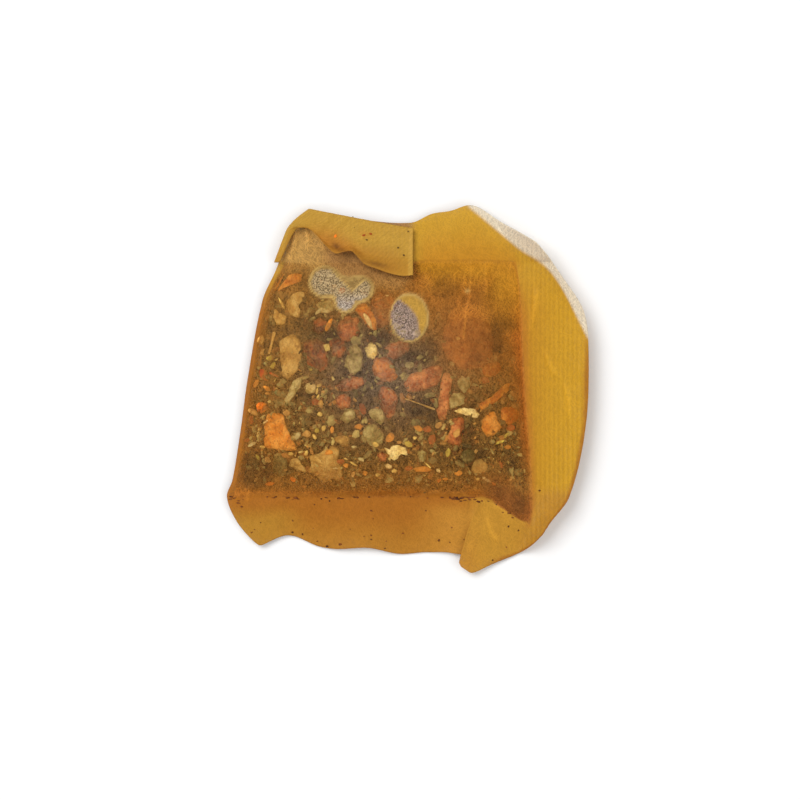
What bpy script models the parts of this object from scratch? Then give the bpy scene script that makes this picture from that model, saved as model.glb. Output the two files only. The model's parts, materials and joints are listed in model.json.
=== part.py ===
# Tea bag, wet and lying flat: a nonwoven sheet folded once at the left and heat-sealed
# along its top, right and bottom, with a loose herb and fruit blend showing through it.
# The model is in metres with +Z up. Sizes below are in millimetres, as the bag lies.

import math
import random

import bmesh
import bpy

MM = 0.001

# Pouch: the herb compartment inside the seals
POUCH_WIDTH = 60.0
POUCH_HEIGHT = 47.0
POUCH_DEPTH = 11.0
LEFT_LEAN = 13.8
RIGHT_LEAN = 3.2
CORNER_DIP = 5.6

# Sealed margins, each at its widest
SIDE_MARGIN = 13.0
BOTTOM_MARGIN = 11.0
TOP_MARGIN = 11.0
FOLD_WIDTH = 0.7

# Sheet thickness: thicker than the real 0.1 mm so that it stays a solid
LEAF_WALL = 0.3
MARGIN_WALL = 0.5
CLEARANCE = 0.3

# How the wet sheet lies
SEAL_LIFT = 1.4
SIDE_CURL = 4.2
TOP_CURL = 2.6
BOTTOM_WAVE = 1.1
WAVE_LENGTH = 21.0
FLAT_SHARE = 0.72
LUMP_HEIGHT = 0.45
PUCKER_HEIGHT = 0.4
PUCKER_PITCH = 5.8
PUCKER_REACH = 5.0

# Pleat across the bottom margin
PLEAT_PLACE = 49.3
PLEAT_SLANT = 0.3
PLEAT_WIDTH = 2.4
PLEAT_HEIGHT = 1.3

# Left end of the top margin, folded over onto the pouch
FLAP_REACH = 36.4
FLAP_DROP = 4.2
FLAP_RADIUS = 0.9
FLAP_LOW_DROP = 3.2
FLAP_CLEARANCE = 0.5

# Unsealed channel through the top margin, under the flap
CHANNEL_GAP = 0.5

# Air blisters under the upper leaf: share across, share up, half width, half height
BLISTER_HEIGHT = 1.1
BLISTERS = (
    (0.272, 0.895, 3.1, 3.4),
    (0.400, 0.835, 4.0, 3.0),
    (0.362, 0.800, 2.8, 2.6),
    (0.575, 0.757, 3.7, 4.6),
)

# Herb blend
BED_INSET = 0.055
LAYER_DEPTH = 4.2
LAYER_SHARE = 0.56

# Grid of the sheet: cells of the pouch and of each margin
POUCH_CELLS_ACROSS = 32
POUCH_CELLS_UP = 26
SIDE_CELLS = 5
BOTTOM_CELLS = 4
TOP_CELLS = 4
FLAP_CELLS = 13
TURN_CELLS = 4
BED_CELLS_ACROSS = 20
BED_CELLS_UP = 17

# Edge shapes of the wet sheet: share of the pouch's side, share of the size named with it
LEFT_SHAPE = ((-0.23, 0.49), (-0.18, 0.28), (-0.10, 0.06), (0.0, -0.07), (0.07, 0.01), (0.285, 0.13),
              (0.50, 0.23), (0.84, 0.45), (0.966, 0.64), (1.136, 0.86), (1.234, 1.0))
SIDE_SHAPE = ((-0.28, 0.20), (-0.12, 0.28), (0.0, 0.55), (0.20, 0.79), (0.40, 0.94), (0.62, 1.0),
              (0.79, 0.95), (0.94, 0.66), (1.09, 0.40), (1.20, 0.32))
BOTTOM_SHAPE = ((0.10, 0.89), (0.19, 0.71), (0.29, 0.91), (0.35, 0.96), (0.46, 0.94), (0.56, 1.05),
                (0.66, 1.02), (0.762, 1.08), (0.79, 1.36), (0.82, 1.37), (0.863, 1.20), (0.93, 0.82),
                (1.0, 0.40), (1.05, 0.10))
TOP_SHAPE = ((0.23, 1.0), (0.42, 0.80), (0.60, 0.73), (0.67, 0.89), (0.73, 0.94), (0.807, 1.04),
             (0.90, 0.73), (1.0, 0.40), (1.05, 0.20))
RIGHT_SEAL_TAPER = ((-0.28, -4.4), (-0.12, -0.6), (0.0, 0.4), (0.5, 0.3), (1.0, 0.2), (1.2, -3.8))

# What the blend holds. Each kind: thickness, facets round, irregularity, section, colour, roughness
KINDS = {
    "orange_peel": (3.0, 10, 0.13, "slab", (0.66, 0.24, 0.04), 0.45),
    "root_slice": (2.4, 10, 0.10, "slab", (0.45, 0.28, 0.11), 0.6),
    "red_berry": (4.2, 12, 0.07, "pebble", (0.30, 0.07, 0.03), 0.35),
    "date_piece": (4.2, 12, 0.06, "pebble", (0.26, 0.09, 0.04), 0.4),
    "olive_leaf": (1.6, 11, 0.20, "slab", (0.22, 0.20, 0.08), 0.65),
    "flower_petal": (1.4, 10, 0.18, "slab", (0.56, 0.45, 0.24), 0.6),
    "round_seed": (1.9, 9, 0.03, "pebble", (0.42, 0.33, 0.15), 0.5),
    "herb_flake": (1.0, 7, 0.18, "slab", (0.52, 0.44, 0.16), 0.6),
    "straw_stem": (0.9, 8, 0.02, "pebble", (0.55, 0.38, 0.13), 0.55),
}

# Pieces that can be told apart: kind, share across, share up, length, width, turn in degrees
BLEND = (
    ("orange_peel", 0.122, 0.277, 7.4, 6.6, 70),
    ("orange_peel", 0.872, 0.313, 5.2, 4.4, 80),
    ("orange_peel", 0.100, 0.896, 3.8, 2.8, 10),
    ("orange_peel", 0.884, 0.424, 8.0, 2.6, 42),
    ("orange_peel", 0.066, 0.400, 4.0, 3.0, 60),
    ("orange_peel", 0.946, 0.372, 4.2, 2.0, 86),
    ("orange_peel", 0.410, 0.762, 5.4, 2.0, -62),
    ("orange_peel", 0.895, 0.540, 3.6, 3.2, 20),
    ("root_slice", 0.134, 0.604, 8.4, 4.2, 83),
    ("root_slice", 0.134, 0.844, 5.6, 3.4, 60),
    ("root_slice", 0.078, 0.760, 3.2, 2.8, 15),
    ("root_slice", 0.305, 0.138, 6.6, 5.2, -20),
    ("root_slice", 0.203, 0.149, 3.6, 3.0, -35),
    ("red_berry", 0.343, 0.623, 5.6, 4.4, 80),
    ("red_berry", 0.255, 0.602, 6.0, 5.4, 20),
    ("red_berry", 0.376, 0.474, 6.4, 2.8, 8),
    ("red_berry", 0.349, 0.406, 4.4, 4.0, 0),
    ("red_berry", 0.351, 0.713, 4.8, 4.4, 30),
    ("red_berry", 0.523, 0.634, 5.4, 3.8, 20),
    ("red_berry", 0.507, 0.406, 6.4, 4.2, -65),
    ("red_berry", 0.642, 0.493, 7.6, 4.8, 8),
    ("red_berry", 0.705, 0.417, 7.0, 3.2, 84),
    ("red_berry", 0.748, 0.258, 5.6, 2.6, 80),
    ("red_berry", 0.231, 0.721, 4.4, 3.8, -20),
    ("date_piece", 0.480, 0.798, 6.8, 6.0, 70),
    ("date_piece", 0.499, 0.532, 6.6, 5.4, 10),
    ("date_piece", 0.747, 0.691, 10.2, 9.6, 40),
    ("olive_leaf", 0.160, 0.453, 7.6, 4.8, 62),
    ("olive_leaf", 0.403, 0.564, 6.2, 4.6, 70),
    ("olive_leaf", 0.789, 0.477, 4.6, 3.6, 70),
    ("olive_leaf", 0.774, 0.406, 3.4, 2.8, 30),
    ("olive_leaf", 0.242, 0.804, 4.8, 3.8, 40),
    ("olive_leaf", 0.371, 0.333, 5.2, 3.8, -30),
    ("olive_leaf", 0.473, 0.357, 3.6, 4.0, 80),
    ("olive_leaf", 0.475, 0.264, 6.4, 4.0, 15),
    ("olive_leaf", 0.788, 0.211, 4.6, 3.8, 25),
    ("olive_leaf", 0.125, 0.131, 5.4, 4.2, -10),
    ("olive_leaf", 0.640, 0.187, 4.6, 3.8, 70),
    ("root_slice", 0.827, 0.146, 3.6, 3.4, 30),
    ("root_slice", 0.351, 0.221, 4.4, 3.2, -15),
    ("flower_petal", 0.445, 0.652, 4.4, 3.0, 75),
    ("flower_petal", 0.538, 0.177, 4.2, 3.2, 20),
    ("flower_petal", 0.772, 0.347, 6.2, 1.7, -10),
    ("red_berry", 0.488, 0.157, 2.6, 2.0, 60),
    ("round_seed", 0.221, 0.460, 2.6, 2.4, 0),
    ("round_seed", 0.787, 0.877, 1.9, 1.7, 0),
    ("round_seed", 0.328, 0.120, 2.6, 1.4, 5),
    ("herb_flake", 0.266, 0.638, 1.7, 1.6, 20),
    ("herb_flake", 0.302, 0.498, 1.5, 1.0, 60),
    ("straw_stem", 0.060, 0.660, 5.0, 0.9, 76),
    ("straw_stem", 0.619, 0.395, 6.0, 0.9, -16),
    ("straw_stem", 0.817, 0.849, 4.4, 0.9, 80),
)

ROUND_POWER = 2.5

LUMPY_KINDS = ("orange_peel", "root_slice", "red_berry", "date_piece")

# Sections: rings as share of the outline and share of the height, from crown to base
SECTIONS = {
    "pebble": ((0.60, 0.94), (0.92, 0.72), (1.0, 0.46), (0.80, 0.12)),
    "slab": ((0.82, 1.0), (1.0, 0.72), (0.98, 0.24), (0.78, 0.0)),
}


def smooth_value(points, place):
    """Value at a place on the smooth curve through (place, value) points."""
    if place <= points[0][0]:
        return points[0][1]
    if place >= points[-1][0]:
        return points[-1][1]
    last = len(points) - 1
    index = max(i for i in range(last) if points[i][0] <= place)
    (x0, y0), (x1, y1) = points[index], points[index + 1]
    before = points[max(index - 1, 0)]
    after = points[min(index + 2, last)]
    slope0 = (y1 - before[1]) / (x1 - before[0])
    slope1 = (after[1] - y0) / (after[0] - x0)
    span = x1 - x0
    t = (place - x0) / span
    ease = t * t * (3.0 - 2.0 * t)
    bend0 = t * (1.0 - t) ** 2 * slope0 * span
    bend1 = t * t * (t - 1.0) * slope1 * span
    return y0 + (y1 - y0) * ease + bend0 + bend1


def smooth_step(value):
    value = min(max(value, 0.0), 1.0)
    return value * value * (3.0 - 2.0 * value)


# Lines of the sheet in its own plan, whose zero is the pouch's lower left corner

def left_edge(y):
    return LEFT_LEAN * smooth_value(LEFT_SHAPE, y / POUCH_HEIGHT)


def left_line(y):
    return left_edge(y) + FOLD_WIDTH


def right_line(y):
    share = y / POUCH_HEIGHT
    return POUCH_WIDTH + smooth_value(RIGHT_SEAL_TAPER, share) - RIGHT_LEAN * share


def right_edge(y):
    return right_line(y) + SIDE_MARGIN * smooth_value(SIDE_SHAPE, y / POUCH_HEIGHT)


def bottom_line(x):
    return -CORNER_DIP * smooth_step((x / POUCH_WIDTH - 0.82) / 0.20)


def bottom_edge(x):
    return bottom_line(x) - BOTTOM_MARGIN * smooth_value(BOTTOM_SHAPE, x / POUCH_WIDTH)


def top_line(x):
    return POUCH_HEIGHT


def top_edge(x):
    return top_line(x) + TOP_MARGIN * smooth_value(TOP_SHAPE, x / POUCH_WIDTH)


def between(low, high, share):
    return low + (high - low) * share


def plan_point(across, up):
    """Point where a line across and a line up the sheet cross.

    Shares from 0 to 1 lie inside the seals. Beyond them a share counts margins:
    1 to 2 is the right or top margin and -1 to 0 is the bottom margin or the fold.
    """
    x = POUCH_WIDTH * min(max(across, 0.0), 1.0)
    y = POUCH_HEIGHT * min(max(up, 0.0), 1.0)
    for _ in range(60):
        if across < 0.0:
            x_new = between(left_line(y), left_edge(y), -across)
        elif across <= 1.0:
            x_new = between(left_line(y), right_line(y), across)
        else:
            x_new = between(right_line(y), right_edge(y), across - 1.0)
        if up < 0.0:
            y_new = between(bottom_line(x), bottom_edge(x), -up)
        elif up <= 1.0:
            y_new = between(bottom_line(x), top_line(x), up)
        else:
            y_new = between(top_line(x), top_edge(x), up - 1.0)
        x = between(x, x_new, 0.6)
        y = between(y, y_new, 0.6)
    return x, y


def shares(x, y):
    """Shares across and up the pouch at a plan point."""
    across = (x - left_line(y)) / (right_line(y) - left_line(y))
    up = (y - bottom_line(x)) / (top_line(x) - bottom_line(x))
    return across, up


# Heights of the sheet

def dome(across, up):
    """Share of the full height that the upper leaf stands at."""
    u = abs(2.0 * min(max(across, 0.0), 1.0) - 1.0)
    v = 2.0 * min(max(up, 0.0), 1.0) - 1.0
    power = 2.1 if v > 0.0 else 3.2
    return (1.0 - u ** 2.8) * (1.0 - abs(v) ** power)


def lumps(x, y):
    """Rise of the leaf over the thick pieces that it lies on."""
    rise = 0.0
    for kind, across, up, length, width, _ in BLEND:
        if kind in LUMPY_KINDS:
            cx, cy = plan_point_kept(across, up)
            spread = 0.35 * (length + width)
            rise += math.exp(-((x - cx) ** 2 + (y - cy) ** 2) / spread ** 2)
    return LUMP_HEIGHT * min(rise, 1.4)


def pucker(across, up, x, y):
    """Small gathers where the full leaf runs into its seals and its fold."""
    def gathers(away, along, phase):
        fade = smooth_step(away / 2.0) * math.exp(-max(away, 0.0) / PUCKER_REACH)
        return fade * math.sin(2.0 * math.pi * along / PUCKER_PITCH + phase + math.sin(along / 7.0))

    rise = gathers(up * POUCH_HEIGHT, x, 0.4)
    rise += gathers((1.0 - across) * POUCH_WIDTH, y, 1.9)
    rise += 0.7 * gathers(across * POUCH_WIDTH, y, 2.6)
    rise += 0.6 * gathers((1.0 - up) * POUCH_HEIGHT, x, 3.3)
    return PUCKER_HEIGHT * rise


KEPT_POINTS = {}


def plan_point_kept(across, up):
    """plan_point, worked out once for each place."""
    key = (across, up)
    if key not in KEPT_POINTS:
        KEPT_POINTS[key] = plan_point(across, up)
    return KEPT_POINTS[key]


def blister(x, y):
    """Rise of the leaf over the trapped air."""
    rise = 0.0
    for across, up, half_width, half_height in BLISTERS:
        cx, cy = plan_point_kept(across, up)
        away = ((x - cx) / half_width) ** 2 + ((y - cy) / half_height) ** 2
        rise = max(rise, 1.0 - away)
    return BLISTER_HEIGHT * math.sqrt(rise)


def leaf_height(x, y):
    """Outer face of the upper leaf, without its blisters."""
    across, up = shares(x, y)
    share = dome(across, up)
    low = SEAL_LIFT + 0.5 * MARGIN_WALL
    full = low + (POUCH_DEPTH - low) * share
    return full + (lumps(x, y) + pucker(across, up, x, y)) * min(3.0 * share, 1.0)


def leaf_inside(x, y):
    """Inner face of the upper leaf, measured square to its slope."""
    step = 0.2
    rise_x = (leaf_height(x + step, y) - leaf_height(x - step, y)) / (2.0 * step)
    rise_y = (leaf_height(x, y + step) - leaf_height(x, y - step)) / (2.0 * step)
    slope = min(math.hypot(rise_x, rise_y), 1.6)
    return leaf_height(x, y) - LEAF_WALL * math.hypot(1.0, slope)


def floor_height(x, y):
    """Outer face of the lower leaf: flat on the rest surface, lifted towards the seals."""
    across, up = shares(x, y)
    reach = max(abs(2.0 * across - 1.0), abs(2.0 * up - 1.0))
    lift = smooth_step((reach - FLAT_SHARE) / (1.0 - FLAT_SHARE))
    return (SEAL_LIFT - 0.5 * MARGIN_WALL) * lift


def margin_height(across, up, x, y):
    """Middle of the fused margin."""
    side = min(max(across - 1.0, 0.0), 1.0)
    below = min(max(-up, 0.0), 1.0)
    above = min(max(up - 1.0, 0.0), 1.0)
    settle = 1.0 - 0.75 * smooth_step(max(below, 0.8 * above, 0.3 * side))
    wave = 0.5 + 0.5 * math.sin(2.0 * math.pi * x / WAVE_LENGTH)
    corner = smooth_step((x / POUCH_WIDTH - 0.45) / 0.55)
    middle = SEAL_LIFT * settle + BOTTOM_WAVE * below * wave
    middle += SIDE_CURL * side ** 1.6 + TOP_CURL * above * corner
    ridge_x = PLEAT_PLACE + PLEAT_SLANT * y
    ridge = max(1.0 - abs(x - ridge_x) / PLEAT_WIDTH, 0.0)
    return middle + PLEAT_HEIGHT * ridge * smooth_step(3.0 * below)


def in_pouch(across, up):
    return 0.0 < across < 1.0 and 0.0 < up < 1.0


# Mesh helpers

def new_object(name, kind_colour, roughness, mesh_maker, centre=(0.0, 0.0, 0.0)):
    """Object with its own Principled material, its mesh measured from its centre in mm."""
    mesh = bpy.data.meshes.new(name)
    bm = bmesh.new()
    mesh_maker(bm)
    bmesh.ops.recalc_face_normals(bm, faces=bm.faces)
    bmesh.ops.scale(bm, vec=(MM, MM, MM), verts=bm.verts)
    bm.to_mesh(mesh)
    bm.free()
    mesh.shade_smooth()
    mesh.set_sharp_from_angle(angle=math.radians(50.0))
    obj = bpy.data.objects.new(name, mesh)
    obj.location = [MM * value for value in centre]
    material = bpy.data.materials.new(name)
    material.use_nodes = True
    shader = material.node_tree.nodes["Principled BSDF"]
    shader.inputs["Base Color"].default_value = (*kind_colour, 1.0)
    shader.inputs["Roughness"].default_value = roughness
    shader.inputs["Metallic"].default_value = 0.0
    mesh.materials.append(material)
    bpy.context.collection.objects.link(obj)
    return obj


def two_triangles(bm, corners, through_first):
    """Quad as two triangles, cut through its first corner or through its second."""
    a, b, c, d = corners
    if through_first:
        parts = ((a, b, c), (a, c, d))
    else:
        parts = ((b, c, d), (b, d, a))
    for part in parts:
        bm.faces.new(part)


def skin_cell(bm, grid, i, j, is_open, flip):
    """One cell of a skin. A corner cell is cut through its one open point."""
    places = ((i, j), (i + 1, j), (i + 1, j + 1), (i, j + 1))
    through_first = is_open(places[0]) or is_open(places[2])
    corners = [grid[place] for place in places]
    if flip:
        corners = [corners[0], corners[3], corners[2], corners[1]]
    two_triangles(bm, corners, through_first)


def mesh_pouch(bm, shift):
    """Folded sheet: two leaves round an inner space, fused in the margins, and the flap."""
    columns = [-1.0] + [i / POUCH_CELLS_ACROSS for i in range(POUCH_CELLS_ACROSS + 1)]
    columns += [1.0 + (i + 1) / SIDE_CELLS for i in range(SIDE_CELLS)]
    rows = [-1.0 + j / BOTTOM_CELLS for j in range(BOTTOM_CELLS)]
    rows += [j / POUCH_CELLS_UP for j in range(POUCH_CELLS_UP + 1)]
    rows += [1.0 + (j + 1) / TOP_CELLS for j in range(TOP_CELLS)]
    last_i, last_j = len(columns) - 1, len(rows) - 1
    right_i = 1 + POUCH_CELLS_ACROSS
    low_j, high_j = BOTTOM_CELLS, BOTTOM_CELLS + POUCH_CELLS_UP
    channel_i = 1 + POUCH_CELLS_ACROSS // 4

    upper, lower, ceiling, ground = {}, {}, {}, {}

    def point(x, y, z):
        return bm.verts.new((x + shift[0], y + shift[1], z))

    def is_open(place):
        i, j = place
        inside = 1 < i < right_i and low_j < j < high_j
        return inside or (i == channel_i and j >= high_j)

    for i, across in enumerate(columns):
        for j, up in enumerate(rows):
            x, y = plan_point(across, up)
            if in_pouch(across, up):
                top, base = leaf_height(x, y), floor_height(x, y)
                inner_top, inner_base = leaf_inside(x, y), base + LEAF_WALL
                inner_top = max(inner_top, inner_base + 0.05)
                raised = blister(x, y)
                top += raised
                inner_top += raised
            else:
                middle = margin_height(across, up, x, y)
                swell = CHANNEL_GAP if is_open((i, j)) else 0.0
                top = middle + 0.5 * MARGIN_WALL + swell
                base = middle - 0.5 * MARGIN_WALL
                inner_base = middle
                inner_top = middle + swell
            upper[i, j] = point(x, y, top)
            lower[i, j] = point(x, y, base)
            if is_open((i, j)):
                ceiling[i, j] = point(x, y, inner_top)
                ground[i, j] = point(x, y, inner_base)
            elif 1 <= i <= right_i and low_j <= j <= high_j or abs(i - channel_i) == 1 and j > high_j:
                ceiling[i, j] = ground[i, j] = point(x, y, 0.5 * (inner_top + inner_base))

    for i in range(last_i):
        for j in range(last_j):
            skin_cell(bm, upper, i, j, lambda place: (place[0] + place[1]) % 2, False)
            skin_cell(bm, lower, i, j, lambda place: (place[0] + place[1]) % 2, True)
            in_cavity = 1 <= i < right_i and low_j <= j < high_j
            in_channel = channel_i - 1 <= i <= channel_i and j >= high_j
            if in_cavity or in_channel:
                skin_cell(bm, ceiling, i, j, is_open, True)
                skin_cell(bm, ground, i, j, is_open, False)

    def rim(a, b):
        corners = [upper[a], upper[b], lower[b], lower[a]]
        if a[1] == last_j and (b[0] == channel_i - 1 or a[0] == channel_i + 1):
            place = b if b[0] == channel_i - 1 else a
            corners.insert(2 if place == b else 4, ceiling[place])
        bm.faces.new(corners)

    for i in range(last_i):
        rim((i, 0), (i + 1, 0))
        if channel_i - 1 <= i <= channel_i:
            a, b = (i, last_j), (i + 1, last_j)
            bm.faces.new((upper[a], upper[b], ceiling[b], ceiling[a]))
            bm.faces.new((ground[a], ground[b], lower[b], lower[a]))
        else:
            rim((i, last_j), (i + 1, last_j))
    for j in range(last_j):
        rim((last_i, j), (last_i, j + 1))
        if j < high_j:
            rim((0, j), (0, j + 1))

    mesh_flap(bm, point, upper, lower, rows, high_j, last_j)


def mesh_flap(bm, point, upper, lower, rows, first_j, last_j):
    """Left end of the top margin, turned back over itself and laid on the pouch."""
    inner, outer = {}, {}
    count = TURN_CELLS + FLAP_CELLS
    for j in range(first_j, last_j + 1):
        inner[0, j], outer[0, j] = upper[0, j], lower[0, j]
        x0, y0 = plan_point(-1.0, rows[j])
        middle = margin_height(-1.0, rows[j], x0, y0)
        row_share = (j - first_j) / (last_j - first_j)
        drop = between(FLAP_LOW_DROP, FLAP_DROP, row_share)
        half = 0.5 * MARGIN_WALL
        for k in range(1, TURN_CELLS + 1):
            angle = math.pi * k / TURN_CELLS
            x = x0 - FLAP_RADIUS * math.sin(angle)
            z = middle + FLAP_RADIUS * (1.0 - math.cos(angle))
            inner[k, j] = point(x + half * math.sin(angle), y0, z + half * math.cos(angle))
            outer[k, j] = point(x - half * math.sin(angle), y0, z - half * math.cos(angle))
        turned = middle + 2.0 * FLAP_RADIUS
        for k in range(1, FLAP_CELLS + 1):
            share = k / FLAP_CELLS
            x = between(x0, FLAP_REACH, share)
            y = y0 - drop * share
            z = max(turned, ground_under_flap(x, y) + FLAP_CLEARANCE + half)
            inner[TURN_CELLS + k, j] = point(x, y, z - half)
            outer[TURN_CELLS + k, j] = point(x, y, z + half)
    for j in range(first_j, last_j):
        for k in range(count):
            bm.faces.new((inner[k, j], inner[k, j + 1], inner[k + 1, j + 1], inner[k + 1, j]))
            bm.faces.new((outer[k, j], outer[k + 1, j], outer[k + 1, j + 1], outer[k, j + 1]))
        bm.faces.new((inner[count, j], inner[count, j + 1], outer[count, j + 1], outer[count, j]))
    for k in range(count):
        for j in (first_j, last_j):
            bm.faces.new((inner[k, j], inner[k + 1, j], outer[k + 1, j], outer[k, j]))


def ground_under_flap(x, y):
    """Highest sheet near a point of the flap."""
    highest = 0.0
    reach = 1.6
    for dx in (-reach, 0.0, reach):
        for dy in (-reach, 0.0, reach):
            across, up = shares(x + dx, y + dy)
            if in_pouch(across, up):
                height = leaf_height(x + dx, y + dy)
            else:
                above = (y + dy - top_line(x)) / (top_edge(x) - top_line(x))
                height = margin_height(across, 1.0 + above, x, y) + 0.5 * MARGIN_WALL + CHANNEL_GAP
            highest = max(highest, height)
    return highest


# The blend inside

def layer_depth(x, y):
    """Depth of the top layer of large pieces under the leaf."""
    room = max(leaf_inside(x, y) - floor_height(x, y) - LEAF_WALL, 0.01)
    return LAYER_DEPTH * (1.0 - math.exp(-LAYER_SHARE * room / LAYER_DEPTH))


def bed_top(x, y):
    return leaf_inside(x, y) - CLEARANCE - layer_depth(x, y)


def bed_base(x, y):
    return floor_height(x, y) + LEAF_WALL + CLEARANCE


def mesh_bed(bm, shift):
    """Fine-cut mass: a thin-edged cushion that fills the pouch under the large pieces."""
    upper, lower = {}, {}

    def is_open(place):
        return 0 < place[0] < BED_CELLS_ACROSS and 0 < place[1] < BED_CELLS_UP

    for i in range(BED_CELLS_ACROSS + 1):
        for j in range(BED_CELLS_UP + 1):
            across = between(BED_INSET, 1.0 - BED_INSET, i / BED_CELLS_ACROSS)
            up = between(BED_INSET, 1.0 - BED_INSET, j / BED_CELLS_UP)
            x, y = plan_point(across, up)
            top, base = bed_top(x, y), bed_base(x, y)
            if is_open((i, j)):
                top = max(top, base + 0.1)
                upper[i, j] = bm.verts.new((x + shift[0], y + shift[1], top))
                lower[i, j] = bm.verts.new((x + shift[0], y + shift[1], base))
            else:
                middle = 0.5 * (max(top, base) + base)
                upper[i, j] = lower[i, j] = bm.verts.new((x + shift[0], y + shift[1], middle))
    for i in range(BED_CELLS_ACROSS):
        for j in range(BED_CELLS_UP):
            skin_cell(bm, upper, i, j, is_open, False)
            skin_cell(bm, lower, i, j, is_open, True)


def reach_of(length, width, turn, angle):
    """Half extent of an oval towards a direction."""
    offset = angle - math.radians(turn)
    return 0.5 * math.hypot(length * math.cos(offset), width * math.sin(offset))


def outline(index, count, wobble):
    """Plan outline of a piece as distances from its centre, giving way to its neighbours."""
    _, across, up, length, width, turn = BLEND[index]
    cx, cy = plan_point_kept(across, up)
    rng = random.Random(100 + index)
    phases = [(k, rng.uniform(0.0, 2.0 * math.pi), rng.uniform(0.5, 1.0) / k) for k in (2, 3, 5)]
    limits = []
    for other, (_, o_across, o_up, o_length, o_width, o_turn) in enumerate(BLEND):
        if other == index:
            continue
        ox, oy = plan_point_kept(o_across, o_up)
        away = math.hypot(ox - cx, oy - cy)
        if away < 0.5 * (length + width + o_length + o_width):
            angle = math.atan2(oy - cy, ox - cx)
            own = reach_of(length, width, turn, angle)
            theirs = reach_of(o_length, o_width, o_turn, angle)
            limits.append((angle, away * own / (own + theirs) - 0.5 * CLEARANCE))
    result = []
    for step in range(count):
        angle = 2.0 * math.pi * step / count
        own = math.radians(turn) + angle
        along = abs(math.cos(angle) / length) ** ROUND_POWER
        across_it = abs(math.sin(angle) / width) ** ROUND_POWER
        oval = 0.5 / (along + across_it) ** (1.0 / ROUND_POWER)
        wave = sum(size * math.sin(k * angle + phase) for k, phase, size in phases)
        radius = oval * (1.0 + wobble * wave)
        for limit_angle, limit in limits:
            facing = math.cos(own - limit_angle)
            if facing > 0.01:
                radius = min(radius, limit / facing)
        result.append((own, max(radius, 0.3)))
    return result


def mesh_piece(bm, index):
    """Piece between the bed and the upper leaf, pressed to the leaf."""
    kind, across, up = BLEND[index][:3]
    thickness, count, wobble, section = KINDS[kind][:4]
    cx, cy = plan_point_kept(across, up)
    edge = outline(index, count, wobble)

    def height(x, y, share):
        high = leaf_inside(x, y) - CLEARANCE
        low = max(bed_top(x, y) + CLEARANCE, high - thickness)
        return between(low, high, share)

    rings = []
    for ring_share, height_share in SECTIONS[section]:
        ring = []
        for angle, radius in edge:
            dx = ring_share * radius * math.cos(angle)
            dy = ring_share * radius * math.sin(angle)
            ring.append(bm.verts.new((dx, dy, height(cx + dx, cy + dy, height_share))))
        rings.append(ring)
    crown = bm.verts.new((0.0, 0.0, height(cx, cy, 1.0)))
    base = bm.verts.new((0.0, 0.0, height(cx, cy, 0.0)))
    for step in range(count):
        following = (step + 1) % count
        bm.faces.new((crown, rings[0][step], rings[0][following]))
        bm.faces.new((base, rings[-1][following], rings[-1][step]))
        for high_ring, low_ring in zip(rings, rings[1:]):
            bm.faces.new((high_ring[step], low_ring[step], low_ring[following]))
            bm.faces.new((high_ring[step], low_ring[following], high_ring[following]))


def sheet_centre():
    """Shift that puts the middle of the sheet's plan at zero."""
    turn = FLAP_RADIUS + 0.5 * MARGIN_WALL
    steps = [i / 40.0 for i in range(-40, 81)]
    left = min(left_edge(POUCH_HEIGHT * step) for step in steps)
    left = min(left, left_edge(POUCH_HEIGHT) - turn)
    edge_points = [plan_point(2.0, -1.0 + 3.0 * k / 60.0) for k in range(61)]
    edge_points += [plan_point(-1.0 + 3.0 * k / 120.0, -1.0) for k in range(121)]
    edge_points += [plan_point(-1.0 + 3.0 * k / 120.0, 2.0) for k in range(121)]
    right = max(x for x, _ in edge_points)
    low = min(y for _, y in edge_points)
    high = max(y for _, y in edge_points)
    return -0.5 * (left + right), -0.5 * (low + high)


def main():
    for obj in list(bpy.data.objects):
        bpy.data.objects.remove(obj, do_unlink=True)

    shift = sheet_centre()
    new_object("filter_pouch", (0.62, 0.42, 0.14), 0.5, lambda bm: mesh_pouch(bm, shift))
    new_object("fine_cut_bed", (0.20, 0.13, 0.05), 0.7, lambda bm: mesh_bed(bm, shift))

    numbers = {}
    for index, (kind, across, up, *_) in enumerate(BLEND):
        numbers[kind] = numbers.get(kind, 0) + 1
        cx, cy = plan_point_kept(across, up)
        colour, roughness = KINDS[kind][4:]
        name = f"{kind}_{numbers[kind]}"
        centre = (cx + shift[0], cy + shift[1], 0.0)
        new_object(name, colour, roughness, lambda bm, item=index: mesh_piece(bm, item), centre)


main()
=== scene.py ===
import json
import math

import bmesh
import bpy
import numpy as np
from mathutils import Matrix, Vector, noise

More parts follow.
